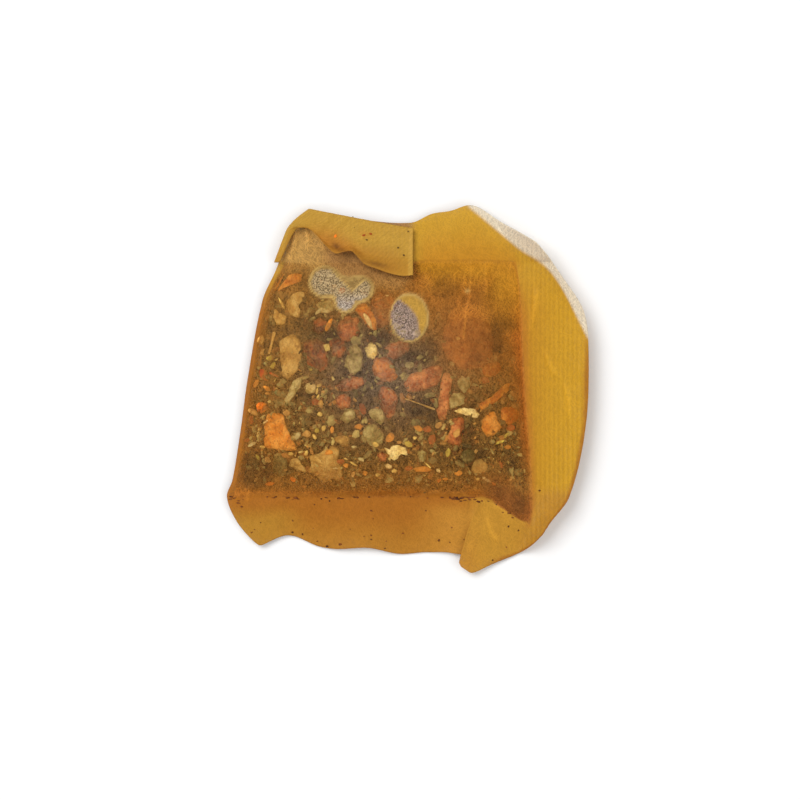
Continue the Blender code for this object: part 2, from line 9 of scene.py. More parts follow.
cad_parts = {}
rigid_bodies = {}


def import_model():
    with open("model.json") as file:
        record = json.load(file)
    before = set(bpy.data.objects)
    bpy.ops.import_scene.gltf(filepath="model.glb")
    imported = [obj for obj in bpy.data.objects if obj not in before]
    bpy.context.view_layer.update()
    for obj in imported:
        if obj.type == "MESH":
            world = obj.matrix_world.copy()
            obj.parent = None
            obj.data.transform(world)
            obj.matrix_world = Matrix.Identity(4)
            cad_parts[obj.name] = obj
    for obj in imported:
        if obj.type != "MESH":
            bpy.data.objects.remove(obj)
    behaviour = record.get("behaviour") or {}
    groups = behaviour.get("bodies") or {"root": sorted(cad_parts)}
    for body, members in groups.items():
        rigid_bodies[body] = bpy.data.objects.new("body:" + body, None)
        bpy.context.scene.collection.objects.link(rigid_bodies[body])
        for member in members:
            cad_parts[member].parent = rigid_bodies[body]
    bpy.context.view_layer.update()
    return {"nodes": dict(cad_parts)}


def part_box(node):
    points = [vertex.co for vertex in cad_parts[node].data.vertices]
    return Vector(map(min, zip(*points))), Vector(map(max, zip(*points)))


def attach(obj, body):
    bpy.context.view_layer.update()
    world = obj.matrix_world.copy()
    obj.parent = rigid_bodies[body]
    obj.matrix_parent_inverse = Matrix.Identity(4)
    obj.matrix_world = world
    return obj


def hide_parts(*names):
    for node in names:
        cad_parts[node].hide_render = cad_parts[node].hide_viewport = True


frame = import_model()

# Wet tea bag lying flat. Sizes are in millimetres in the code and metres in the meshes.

mm = 0.001
scene = bpy.context.scene

# Plan of the sheet: its edges and seal lines, in mm from the lower left corner of the pouch

pouch = {
    "width": 60.0, "height": 47.0, "depth": 11.0,
    "leftLean": 13.8, "rightLean": 3.2, "cornerDip": 5.6,
    "side": 13.0, "bottom": 11.0, "top": 11.0, "fold": 0.7,
    "sealLift": 1.4, "sideCurl": 4.2, "topCurl": 2.6,
    "bottomWave": 1.1, "waveLength": 21.0, "flatShare": 0.72,
    "leafWall": 0.3, "marginWall": 0.5, "clearance": 0.3,
    "layerDepth": 4.2, "layerShare": 0.56, "bedInset": 0.028,
    "pleatPlace": 49.3, "pleatSlant": 0.26, "pleatHalf": 1.8, "pleatOverlap": 0.52, "pleatRise": 0.5,
    "lumpRise": 0.45, "lumpMost": 1.4, "puckerRise": 0.4, "puckerPitch": 5.8, "puckerReach": 5.0,
}

flap = {"reach": 36.4, "radius": 0.9, "lowDrop": 3.2, "topDrop": 4.2, "clearance": 0.5}

# Edge shapes: share of the pouch's side, share of the size named with it
leftShape = ((-0.23, 0.49), (-0.18, 0.28), (-0.10, 0.06), (0.0, -0.07), (0.07, 0.01), (0.285, 0.13),
             (0.50, 0.23), (0.84, 0.45), (0.966, 0.64), (1.136, 0.86), (1.234, 1.0))
sideShape = ((-0.28, 0.20), (-0.12, 0.28), (0.0, 0.55), (0.20, 0.79), (0.40, 0.94), (0.62, 1.0),
             (0.79, 0.95), (0.94, 0.66), (1.09, 0.40), (1.20, 0.32))
bottomShape = ((0.10, 0.89), (0.19, 0.71), (0.29, 0.91), (0.35, 0.96), (0.46, 0.94), (0.56, 1.05),
               (0.66, 1.02), (0.762, 1.08), (0.79, 1.36), (0.82, 1.37), (0.863, 1.20), (0.93, 0.82),
               (1.0, 0.40), (1.05, 0.10))
topShape = ((0.23, 1.0), (0.42, 0.80), (0.60, 0.73), (0.67, 0.89), (0.73, 0.94), (0.807, 1.04),
            (0.90, 0.73), (1.0, 0.40), (1.05, 0.20))
sealTaper = ((-0.28, -4.4), (-0.12, -0.6), (0.0, 0.4), (0.5, 0.3), (1.0, 0.2), (1.2, -3.8))


def smoothValue(points, place):
    xs = np.array([p[0] for p in points])
    ys = np.array([p[1] for p in points])
    place = np.clip(place, xs[0], xs[-1])
    last = len(xs) - 1
    index = np.clip(np.searchsorted(xs, place, side="right") - 1, 0, last - 1)
    x0, y0, x1, y1 = xs[index], ys[index], xs[index + 1], ys[index + 1]
    before = np.maximum(index - 1, 0)
    after = np.minimum(index + 2, last)
    slope0 = (y1 - ys[before]) / (x1 - xs[before])
    slope1 = (ys[after] - y0) / (xs[after] - x0)
    span = x1 - x0
    t = (place - x0) / span
    ease = t * t * (3.0 - 2.0 * t)
    return y0 + (y1 - y0) * ease + t * (1.0 - t) ** 2 * slope0 * span + t * t * (t - 1.0) * slope1 * span


def smoothStep(value):
    value = np.clip(value, 0.0, 1.0)
    return value * value * (3.0 - 2.0 * value)


def fade(value, start, end):
    # smooth from 0 at the start to 1 at the end, whichever of the two is larger
    return smoothStep((value - start) / (end - start))


def between(low, high, share):
    return low + (high - low) * share


def leftEdge(y):
    return pouch["leftLean"] * smoothValue(leftShape, y / pouch["height"])


def leftLine(y):
    return leftEdge(y) + pouch["fold"]


def rightLine(y):
    share = y / pouch["height"]
    return pouch["width"] + smoothValue(sealTaper, share) - pouch["rightLean"] * share


def rightEdge(y):
    return rightLine(y) + pouch["side"] * smoothValue(sideShape, y / pouch["height"])


def bottomLine(x):
    return -pouch["cornerDip"] * smoothStep((x / pouch["width"] - 0.82) / 0.20)


def bottomEdge(x):
    return bottomLine(x) - pouch["bottom"] * smoothValue(bottomShape, x / pouch["width"])


def topEdge(x):
    return pouch["height"] + pouch["top"] * smoothValue(topShape, x / pouch["width"])


def planPoint(across, up):
    # where a line across and a line up the sheet cross: 0 to 1 is the pouch, beyond it the margins
    across, up = np.broadcast_arrays(np.asarray(across, float), np.asarray(up, float))
    x = pouch["width"] * np.clip(across, 0.0, 1.0)
    y = pouch["height"] * np.clip(up, 0.0, 1.0)
    rounds, pace = 60, 0.6  # enough for the place to settle
    for _ in range(rounds):
        left, right = leftLine(y), rightLine(y)
        xNew = between(left, right, np.clip(across, 0.0, 1.0))
        xNew = np.where(across < 0.0, between(left, leftEdge(y), -across), xNew)
        xNew = np.where(across > 1.0, between(right, rightEdge(y), across - 1.0), xNew)
        low = bottomLine(x)
        yNew = between(low, pouch["height"], np.clip(up, 0.0, 1.0))
        yNew = np.where(up < 0.0, between(low, bottomEdge(x), -up), yNew)
        yNew = np.where(up > 1.0, between(pouch["height"], topEdge(x), up - 1.0), yNew)
        x, y = between(x, xNew, pace), between(y, yNew, pace)
    return x, y


def shares(x, y):
    left = leftLine(y)
    low = bottomLine(x)
    return (x - left) / (rightLine(y) - left), (y - low) / (pouch["height"] - low)


def sheetCentre():
    turn = flap["radius"] + 0.5 * pouch["marginWall"]
    steps = np.arange(-40, 81) / 40.0
    left = min(leftEdge(pouch["height"] * steps).min(), float(leftEdge(pouch["height"])) - turn)
    edges = [planPoint(2.0, np.linspace(-1.0, 2.0, 61)), planPoint(np.linspace(-1.0, 2.0, 121), -1.0),
             planPoint(np.linspace(-1.0, 2.0, 121), 2.0)]
    xs = np.concatenate([edge[0] for edge in edges])
    ys = np.concatenate([edge[1] for edge in edges])
    return -0.5 * (left + xs.max()), -0.5 * (ys.min() + ys.max())


shiftX, shiftY = sheetCentre()
print("plan shift", round(shiftX, 3), round(shiftY, 3))

# Heights of the sheet over the floor


def softNoise(x, y, size, seed):
    # smooth value noise from -1 to 1 on a grid of the given size, the same on every run
    def lattice(i, j):
        mixed = np.sin(i * 127.1 + j * 311.7 + seed * 74.7) * 43758.5453
        return 2.0 * (mixed - np.floor(mixed)) - 1.0
    u, v = np.asarray(x) / size, np.asarray(y) / size
    i, j = np.floor(u), np.floor(v)
    fu, fv = smoothStep(u - i), smoothStep(v - j)
    low = between(lattice(i, j), lattice(i + 1, j), fu)
    high = between(lattice(i, j + 1), lattice(i + 1, j + 1), fu)
    return between(low, high, fv)


def layeredNoise(x, y, size, seed):
    total = 0.0
    for layer in range(3):
        turn = 0.7 * layer
        tx = x * math.cos(turn) - y * math.sin(turn)
        ty = x * math.sin(turn) + y * math.cos(turn)
        total = total + softNoise(tx, ty, size / 2.0 ** layer, seed + layer) / 2.0 ** layer
    return total / 1.75


def domeShare(across, up):
    u = np.abs(2.0 * np.clip(across, 0.0, 1.0) - 1.0)
    v = 2.0 * np.clip(up, 0.0, 1.0) - 1.0
    power = np.where(v > 0.0, 2.1, 3.2)
    return (1.0 - u ** 2.8) * (1.0 - np.abs(v) ** power)


pieceOutlines = {  # outlines in the frame in mm, x and y in turn; the pieces of a kind are numbered from 1
    "orange_peel": (
        (-28, -5.4, -26.4, -5, -24.8, -5.2, -24, -7.9, -22.6, -10.7, -22.2, -12.1, -25.2, -12.1, -28.4, -11.5,
         -28.6, -8.9, -28.2, -6.9),
        (16.2, -4.8, 17.4, -4.5, 18, -6.4, 18.9, -7.1, 18.5, -8, 17.4, -9.2, 15.8, -9.4, 14.8, -8, 15.1, -6.2),
        (-25, 23.3, -21.3, 23.1, -21.4, 21.5, -24, 20.7, -25.8, 19.7, -26.5, 20.1, -25.8, 21.9),
        (14.4, -2.8, 16.7, -1.6, 19.4, 0.9, 20.4, 1.1, 20.1, -0.5, 17.4, -2.8, 14.8, -4.2),
        (-30.1, -3.6, -29.4, -3.1, -28.2, -2.9, -28.3, -4.4, -29.2, -5, -30, -4.5),
        (18.7, -3.9, 21, -3.4, 22.4, -4.6, 22.1, -6.2, 20.3, -7.3, 18.9, -6.2),
        (-9.9, 16.7, -8.4, 17, -7, 15.5, -6, 13.4, -6.2, 11.6, -7.8, 12.1, -9, 14.2, -10.4, 15.7),
        (14.7, 3.7, 15.9, 5.1, 18.3, 5.3, 18.9, 4.1, 17.3, 2.5, 15.5, 2.3),
    ),
    "root_slice": (
        (-25.5, 9.4, -24, 10.3, -22.6, 10.7, -21.3, 9.4, -21, 6.1, -21.9, 3.7, -23.8, 2.1, -24.9, 2.9, -25.2,
         6.1),
        (-23.2, 18.8, -21.9, 19.4, -20.7, 19.3, -20.5, 17.9, -21.9, 16.7, -21.2, 15.5, -21.7, 14.3, -23.4,
         14.9, -24.2, 17.1),
        (-26.6, 16.1, -25.6, 15.3, -24, 14.5, -24.7, 12.9, -26.2, 12.8, -26.8, 14.2),
        (-19.5, -13.4, -17.3, -12.9, -15.2, -11.5, -13.6, -12.2, -13.9, -14.2, -12.9, -16.6, -13.4, -18.5,
         -15.1, -17.7, -16.7, -18.7, -18.3, -17.0, -19.7, -16.4, -18.9, -14.9),
        (-23, -13.9, -21.7, -13.8, -21.1, -15, -19.8, -16.4, -20.7, -16.6, -22.2, -16, -23.6, -15.4),
        (13.5, -14.2, 14.9, -13.9, 16.1, -15.1, 15.8, -16.7, 13.5, -16.9, 12.8, -16),
        (-14.5, -9.6, -13, -9.2, -11.9, -9.3, -11.4, -10.3, -12.4, -11.4, -14.3, -10.4),
    ),
    "red_berry": (
        (-15.5, 9.6, -13.9, 10.2, -12.2, 9.2, -12, 7.6, -13.2, 6.1, -15.1, 6.7),
        (-20.3, 9.4, -18.3, 10, -16.2, 8.8, -15.6, 6.1, -16.3, 3.7, -18.7, 3.1, -20.3, 4.9, -20.9, 7.4),
        (-14.3, 0.6, -12.8, 1.8, -11, 2.4, -8.8, 2.3, -8.1, 1.3, -9.8, -0.1, -11.8, -0.4, -13.5, -0.5),
        (-14.3, -1.6, -12.6, -0.9, -11.1, -1.7, -11, -3.4, -12.6, -4.3, -14.2, -3.4),
        (-14.1, 11.8, -13.3, 13.6, -12, 14.5, -9.8, 14.2, -9.2, 11.8, -10.2, 9.8, -12.4, 9.4, -13.6, 10.4),
        (-4.5, 8, -3.5, 9, -1.9, 9.5, 0.3, 9.2, 0.2, 7.6, -0.9, 6.3, -2.5, 5.9, -4, 6.4),
        (-5.4, 0.1, -4.3, 0.4, -3, -0.1, -1.8, -1.6, -2.4, -4.6, -3.7, -6.1, -5, -4.2, -5.7, -1.9),
        (-0.6, 1.1, 0.3, 2.7, 3, 3.8, 5.8, 4.7, 7, 4.3, 6.5, 2.3, 5.8, 0.7, 3, -0.4, 0.3, -0.5),
        (6.8, 2.1, 7.6, 3.1, 9, 2.3, 8.6, -0.3, 8.3, -3.8, 7.8, -5.8, 6.3, -5.9, 5.7, -3.8, 6.4, -1.3),
        (9, -5.9, 11.2, -5.7, 11.4, -8, 10.6, -11.2, 9.2, -11.7, 7.7, -10.3, 8.6, -8),
        (-18.7, 13.4, -17.3, 14.3, -15.9, 13.4, -16, 11.6, -17.5, 10.8, -18.7, 11.6),
        (-6, -13, -5, -12.4, -4, -13.3, -4.3, -14.5, -5.5, -14.6),
    ),
    "date_piece": (
        (-6.2, 19.7, -4.1, 19.7, -2.5, 18.3, -2.4, 15.9, -3.3, 13, -5.8, 12.3, -7.2, 14.2, -7.5, 16.9),
        (-7, 3.7, -6.4, 6, -4.1, 6.4, -2.7, 4.5, -1.8, 2.1, -3.9, 1.2, -6.2, 2.1),
        (9.2, 15.5, 11.9, 15.9, 14.5, 15.5, 16, 13.8, 16.9, 10.4, 16.9, 7.4, 14.9, 4.3, 10.8, 4.1, 7.8, 6.3,
         6.8, 9.4, 7.8, 12.6),
    ),
    "olive_leaf": (
        (-23, 1.3, -22.2, 2, -20.8, 2.6, -21.1, 0.7, -22.4, -1.3, -23.7, -3, -24.8, -2.5, -23.7, -0.4),
        (-11.4, 8.4, -9.8, 9, -8.8, 7, -8.9, 3.7, -11, 2.7, -12.6, 4.7, -12, 6.7),
        (9.9, 1.5, 10.8, 2.7, 12.5, 2.5, 12.6, 0.3, 11.4, -1, 9.9, 0.5),
        (8.1, -2.1, 9.2, -0.7, 11.1, -0.9, 11.8, -2.6, 10, -3.6, 8.6, -4.1),
        (-18.4, 17, -17.1, 17.5, -15.3, 18.1, -14.1, 16.1, -15.9, 15, -18.1, 15.1, -17.7, 16.1),
        (-12.4, -4.4, -11.2, -3.8, -10.2, -4.3, -10.4, -6, -11.8, -6.8, -13.5, -6.4, -13, -5.4),
        (-7.9, -4.2, -6.3, -3.7, -4.9, -4, -4.5, -6, -5.9, -6.7, -7.2, -5.9),
        (-8.6, -7.3, -6.7, -6.8, -4.5, -8.9, -5, -11, -7.5, -11.3, -8.8, -9.6),
        (10.7, -12.4, 12.1, -11.7, 13.6, -12.5, 13.4, -14.4, 11.7, -15, 10.6, -13.9),
        (-26.6, -13.1, -25, -12.7, -23.9, -14.3, -24, -16.8, -25.4, -18.1, -26.8, -16.8, -27.1, -14.8),
        (1.9, -12.6, 3, -11.9, 3.9, -12.8, 3.7, -14.5, 2.5, -14.7),
    ),
    "flower_petal": (
        (-8.4, 7.8, -7.3, 9.4, -6.2, 8.8, -5.8, 7.2, -6.6, 5.8, -7.8, 6.1),
        (-4.7, -11.5, -3.5, -12.2, -3, -11.3, -1.8, -11.1, -0.4, -11.7, 0.3, -13.4, -1.2, -12.9, -1.8, -13.7,
         -2.7, -14.4, -3.7, -13.2),
        (9, -4.4, 11.2, -3.7, 13.3, -3.9, 14.4, -5.1, 13.8, -5.8, 11.7, -5.3),
    ),
    "round_seed": (
        (-19.2, 1.3, -18.3, 1, -18, 0.2, -18.3, -0.7, -19.2, -1, -20.1, -0.7, -20.4, 0.2, -20.1, 1),
        (11.5, 19.8, 12.1, 19.9, 12.4, 19.3, 12.1, 18.9, 11.6, 19),
        (-15.8, -15.8, -15.1, -15.5, -13.9, -15.4, -13, -15.9, -13.9, -16.3, -15.1, -16.2),
    ),
    "herb_flake": (
        (-16.7, 8.8, -15.5, 9, -15.2, 7.6, -16.3, 7.4),
        (-15.2, 2.5, -14.7, 2.5, -14.2, 1.7, -14.8, 1.6),
    ),
    "straw_stem": (
        (-27, 11.4, -26.3, 11.3, -26.8, 9.4, -27.4, 7.1, -27.9, 7.2, -27.3, 9.4),
        (-0.2, -1.9, 2.5, -2.8, 5.4, -3.8, 5.2, -4.2, 2.4, -3.1, -0.4, -2.1),
        (12, 17.5, 12.4, 17.4, 11.9, 14.2, 11.4, 9.4, 10.9, 9.4, 11.3, 14.2),
    ),
}


def cutCorners(points, kept):
    # two points on each side in place of its corners
    after = np.roll(points, -1, 0)
    return np.stack([between(after, points, kept), between(points, after, kept)], 1).reshape(-1, 2)


def closedCurve(points, count):
    # smooth closed curve round the points, evenly spaced, with its corners kept fairly tight
    rounded = cutCorners(cutCorners(np.asarray(points, float), 0.88), 0.86)
    looped = np.vstack([rounded, rounded[:1]])
    length = np.concatenate([[0.0], np.cumsum(np.hypot(*np.diff(looped, axis=0).T))])
    even = np.linspace(0.0, length[-1], count, endpoint=False)
    return np.stack([np.interp(even, length, looped[:, k]) for k in (0, 1)], 1)


class Chunk:
    # one piece of the blend: its node's place, and its outline as it shows through the film
    def __init__(self, name):
        self.name = name
        self.kind, number = name.rsplit("_", 1)
        self.number = int(number)
        low, high = [np.array(corner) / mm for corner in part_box(name)]
        self.spread = 0.35 * (high[0] - low[0] + high[1] - low[1])
        ring = closedCurve(np.reshape(pieceOutlines[self.kind][self.number - 1], (-1, 2)), 96)
        self.centre = ring.mean(0)
        self.ring = ring - self.centre
        angle = np.arctan2(self.ring[:, 1], self.ring[:, 0])
        order = np.argsort(angle)
        self.angles = angle[order]
        self.radii = np.hypot(*self.ring.T)[order]

    def radius(self, angle):
        return np.interp(np.mod(angle + np.pi, 2.0 * np.pi) - np.pi, self.angles, self.radii, period=2.0 * np.pi)

    def away(self, x, y):
        # distance from the middle as a share of the outline's; x and y in the frame
        dx, dy = x - self.centre[0], y - self.centre[1]
        return np.hypot(dx, dy) / self.radius(np.arctan2(dy, dx))


chunks = [Chunk(name) for name in sorted(frame["nodes"]) if name not in ("filter_pouch", "fine_cut_bed")]
print(len(chunks), "pieces of the blend read from the frame")


def pieceCover(x, y, skipped=None):
    # 1 over the middle of the pieces, 0 in the gaps between them
    cover = np.zeros_like(x)
    for chunk in chunks:
        if chunk.kind != skipped:
            cover = np.maximum(cover, 1.0 - smoothStep((chunk.away(x, y) - 0.8) / 0.3))
    return cover


blisters = (  # frame place, half width, half height; the first four run together
    (-16.5, 21.4, 3.2, 3.2), (-13.0, 20.0, 2.4, 2.4), (-9.6, 19.9, 2.9, 2.7), (-12.3, 17.3, 2.2, 2.2),
    (0.4, 14.2, 3.8, 4.8),
)

creases = (  # narrow raised folds of the film: from, to, height, half width
    ((-21.2, 34.6), (-24.2, 25.5), 0.55, 0.5), ((-20.6, 34.2), (-20.2, 27.6), 0.5, 0.45),
    ((-19.6, 33.0), (-15.8, 27.0), 0.5, 0.5), ((-24.6, 27.6), (-22.0, 20.6), 0.35, 0.5),
    ((-34.4, -20.0), (-31.2, -17.0), 0.35, 0.4), ((-35.0, -21.8), (-31.4, -19.4), 0.3, 0.4),
    ((-32.6, -22.6), (-30.4, -18.6), 0.3, 0.4), ((12.0, 23.0), (9.6, 14.6), 0.35, 0.5),
    ((16.6, 26.0), (15.0, 15.4), 0.3, 0.5), ((3.4, 24.6), (5.6, 18.8), 0.35, 0.6),
    ((18.6, -31.0), (14.8, -23.6), 0.3, 0.5), ((20.6, -24.8), (16.4, -23.0), 0.25, 0.5),
    ((25.6, 20.6), (25.0, 9.6), 0.3, 0.6), ((27.2, 7.6), (31.2, 1.0), 0.25, 0.35),
    ((31.2, 1.6), (33.0, -8.0), 0.25, 0.35), ((12.9, 26.5), (11.0, 8.6), 0.22, 0.28),
    ((9.9, 24.0), (9.6, 16.0), 0.2, 0.28),
)


def blisterInside(x, y, which=slice(0, 5)):
    # depth inside the blister outlines in mm, blended where they meet; x and y in the frame
    total = 0.0
    sharp = 2.2
    for cx, cy, halfWidth, halfHeight in blisters[which]:
        away = np.hypot((x - cx) / halfWidth, (y - cy) / halfHeight)
        total = total + np.exp(sharp * (1.0 - away) * min(halfWidth, halfHeight))
    return np.log(total + 1e-9) / sharp


def creaseRise(x, y):
    rise = 0.0
    for (ax, ay), (bx, by), high, half in creases:
        length = math.hypot(bx - ax, by - ay)
        along = ((x - ax) * (bx - ax) + (y - ay) * (by - ay)) / length ** 2
        side = ((x - ax) * (by - ay) - (y - ay) * (bx - ax)) / length
        side = side + 0.35 * np.sin(along * 5.0 + ax)
        ends = smoothStep(along / 0.15) * fade(along, 1.0, 0.5)
        rise = rise + high * ends * np.exp(-(side / half) ** 2)
    return rise


def pucker(across, up, x, y):
    def gathers(away, along, phase):
        reach = smoothStep(away / 2.0) * np.exp(-np.maximum(away, 0.0) / pouch["puckerReach"])
        return reach * np.sin(2.0 * np.pi * along / pouch["puckerPitch"] + phase + np.sin(along / 7.0))
    rise = gathers(up * pouch["height"], x, 0.4) + gathers((1.0 - across) * pouch["width"], y, 1.9)
    rise = rise + 0.7 * gathers(across * pouch["width"], y, 2.6)
    return pouch["puckerRise"] * (rise + 0.6 * gathers((1.0 - up) * pouch["height"], x, 3.3))


def lumps(x, y):
    rise = 0.0
    for chunk in chunks:
        if chunk.kind in ("orange_peel", "root_slice", "red_berry", "date_piece"):
            cx, cy = chunk.centre[0] - shiftX, chunk.centre[1] - shiftY
            rise = rise + np.exp(-((x - cx) ** 2 + (y - cy) ** 2) / chunk.spread ** 2)
    return pouch["lumpRise"] * np.minimum(rise, pouch["lumpMost"])


def leafHeight(x, y):
    # outer face of the upper leaf over the blend
    across, up = shares(x, y)
    share = domeShare(across, up)
    low = pouch["sealLift"] + 0.5 * pouch["marginWall"]
    full = low + (pouch["depth"] - low) * share
    return full + (lumps(x, y) + pucker(across, up, x, y)) * np.minimum(3.0 * share, 1.0)


def leafInside(x, y):
    step = 0.2
    riseX = (leafHeight(x + step, y) - leafHeight(x - step, y)) / (2.0 * step)
    riseY = (leafHeight(x, y + step) - leafHeight(x, y - step)) / (2.0 * step)
    slope = np.minimum(np.hypot(riseX, riseY), 1.6)
    return leafHeight(x, y) - pouch["leafWall"] * np.hypot(1.0, slope)


def floorHeight(x, y):
    across, up = shares(x, y)
    reach = np.maximum(np.abs(2.0 * across - 1.0), np.abs(2.0 * up - 1.0))
    lift = smoothStep((reach - pouch["flatShare"]) / (1.0 - pouch["flatShare"]))
    return (pouch["sealLift"] - 0.5 * pouch["marginWall"]) * lift


def bedTop(x, y):
    room = np.maximum(leafInside(x, y) - floorHeight(x, y) - pouch["leafWall"], 0.01)
    depth = pouch["layerDepth"] * (1.0 - np.exp(-pouch["layerShare"] * room / pouch["layerDepth"]))
    return leafInside(x, y) - pouch["clearance"] - depth


def bedBase(x, y):
    return floorHeight(x, y) + pouch["leafWall"] + pouch["clearance"]


def marginHeight(across, up, x):
    side = np.clip(across - 1.0, 0.0, 1.0)
    below = np.clip(-up, 0.0, 1.0)
    above = np.clip(up - 1.0, 0.0, 1.0)
    settle = 1.0 - 0.75 * smoothStep(np.maximum(np.maximum(below, 0.8 * above), 0.3 * side))
    wave = 0.5 + 0.5 * np.sin(2.0 * np.pi * x / pouch["waveLength"])
    corner = smoothStep((x / pouch["width"] - 0.45) / 0.55)
    middle = pouch["sealLift"] * settle + pouch["bottomWave"] * below * wave
    return middle + pouch["sideCurl"] * side ** 1.6 + pouch["topCurl"] * above * corner


# Mesh helpers; points come in millimetres


def meshObject(name, points, faces):
    mesh = bpy.data.meshes.new(name)
    mesh.from_pydata([tuple(p) for p in np.asarray(points) * mm], [], faces)
    mesh.shade_smooth()
    obj = bpy.data.objects.new(name, mesh)
    scene.collection.objects.link(obj)
    return obj


def gridFaces(rows, columns, start=0, flip=False):
    index = start + np.arange(rows * columns).reshape(rows, columns)
    a, b, c, d = index[:-1, :-1], index[:-1, 1:], index[1:, 1:], index[1:, :-1]
    order = (a, d, c, b) if flip else (a, b, c, d)
    return np.stack([part.ravel() for part in order], 1).tolist()


def ringFaces(start, count, rings):
    # quads between closed rings of count points that follow each other downwards
    faces = []
    for a in range(start, start + (rings - 1) * count, count):
        for k in range(count):
            n = (k + 1) % count
            faces.append((a + k, a + count + k, a + count + n, a + n))
    return faces


def turned(u, v, degrees):
    c, s = math.cos(math.radians(degrees)), math.sin(math.radians(degrees))
    return u * c - v * s, u * s + v * c


def storePoints(obj, name, values, kind="FLOAT"):
    field = {"FLOAT": "value", "FLOAT_VECTOR": "vector", "FLOAT_COLOR": "color"}[kind]
    attribute = obj.data.attributes.new(name, kind, "POINT")
    attribute.data.foreach_set(field, np.asarray(values, np.float32).ravel())


def finishPiece(obj, slotName, *nodes):
    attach(obj, "root")
    if nodes:
        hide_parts(*nodes)


def plainMesh(obj):
    # the object's mesh with its modifiers applied
    graph = bpy.context.evaluated_depsgraph_get()
    mesh = bpy.data.meshes.new_from_object(obj.evaluated_get(graph))
    obj.modifiers.clear()
    return mesh


def linear(red, green, blue):
    # colour as seen on screen, 0 to 255, to the linear value that a shader takes
    def one(value):
        value = value / 255.0
        return value / 12.92 if value <= 0.04045 else ((value + 0.055) / 1.055) ** 2.4
    return one(red), one(green), one(blue), 1.0


# Shader helpers


def join(tree, value, socket):
    # link a socket, or set a plain value
    if isinstance(value, bpy.types.NodeSocket):
        tree.links.new(value, socket)
    else:
        socket.default_value = value


def addNode(tree, kind, inputs=None, **settings):
    node = tree.nodes.new(kind)
    for key, value in settings.items():
        setattr(node, key, value)
    for key, value in (inputs or {}).items():
        join(tree, value, node.inputs[key])
    return node


def mathNode(tree, operation, first, second=0.0):
    return addNode(tree, "ShaderNodeMath", {0: first, 1: second}, operation=operation).outputs[0]


def plus(tree, first, second):
    return mathNode(tree, "ADD", first, second)


def minus(tree, first, second):
    return mathNode(tree, "SUBTRACT", first, second)


def times(tree, first, second):
    return mathNode(tree, "MULTIPLY", first, second)


def mixColour(tree, share, first, second, blend="MIX"):
    node = addNode(tree, "ShaderNodeMix", {0: share, 6: first, 7: second}, data_type="RGBA", blend_type=blend)
    return node.outputs[2]


def tinted(tree, colour, factor):
    return mixColour(tree, 1.0, colour, factor, "MULTIPLY")


def dimmed(tree, colour, factor, keep):
    # the colour times the factor where keep is 0, and as it is where keep is 1
    return mixColour(tree, keep, tinted(tree, colour, factor), colour)


def mixFloat(tree, share, first, second):
    return addNode(tree, "ShaderNodeMix", {0: share, 2: first, 3: second}, data_type="FLOAT").outputs[0]


def ramp(tree, value, stops):
    node = addNode(tree, "ShaderNodeValToRGB", {0: value})
    elements = node.color_ramp.elements
    while len(elements) < len(stops):
        elements.new(0.5)
    for element, (place, colour) in zip(elements, stops):
        element.position = place
        element.color = colour
    return node.outputs[0]


def stepBetween(tree, value, low, high):
    node = addNode(tree, "ShaderNodeMapRange", {0: value, 1: low, 2: high}, interpolation_type="SMOOTHSTEP")
    return node.outputs[0]


def noiseAt(tree, vector, scale, detail=2.0, roughness=0.5, distortion=0.0):
    return addNode(tree, "ShaderNodeTexNoise", {"Vector": vector, "Scale": scale, "Detail": detail,
                                                "Roughness": roughness, "Distortion": distortion}).outputs[0]


def stretched(tree, vector, turn, scale):
    # vector turned and scaled, so that a pattern runs in streaks along one direction
    first = addNode(tree, "ShaderNodeMapping", {"Vector": vector, "Rotation": (0.0, 0.0, math.radians(turn))})
    return addNode(tree, "ShaderNodeMapping", {"Vector": first.outputs[0], "Scale": scale}).outputs[0]


def readPoint(tree, name, output="Fac"):
    return addNode(tree, "ShaderNodeAttribute", attribute_name=name).outputs[output]


def startMaterial(name):
    material = bpy.data.materials.new(name)
    material.use_nodes = True
    return material, material.node_tree, material.node_tree.nodes["Principled BSDF"]


def finishSurface(tree, shader, colour, rough, specular, height=None, strength=0.0, distance=0.0):
    tree.links.new(colour, shader.inputs["Base Color"])
    tree.links.new(rough, shader.inputs["Roughness"])
    shader.inputs["Specular IOR Level"].default_value = specular
    if height is not None:
        bump = addNode(tree, "ShaderNodeBump", {"Strength": strength, "Distance": distance, "Height": height})
        tree.links.new(bump.outputs[0], shader.inputs["Normal"])


def startGroup(kind, name, inputs, outputs):
    tree = bpy.data.node_groups.new(name, kind)
    for way, sockets in (("INPUT", inputs), ("OUTPUT", outputs)):
        for label, form in sockets.items():
            tree.interface.new_socket(label, in_out=way, socket_type="NodeSocket" + form)
    return tree, tree.nodes.new("NodeGroupInput"), tree.nodes.new("NodeGroupOutput")


def useGroup(tree, group, inputs):
    return addNode(tree, "ShaderNodeGroup", inputs, node_tree=group).outputs[:]


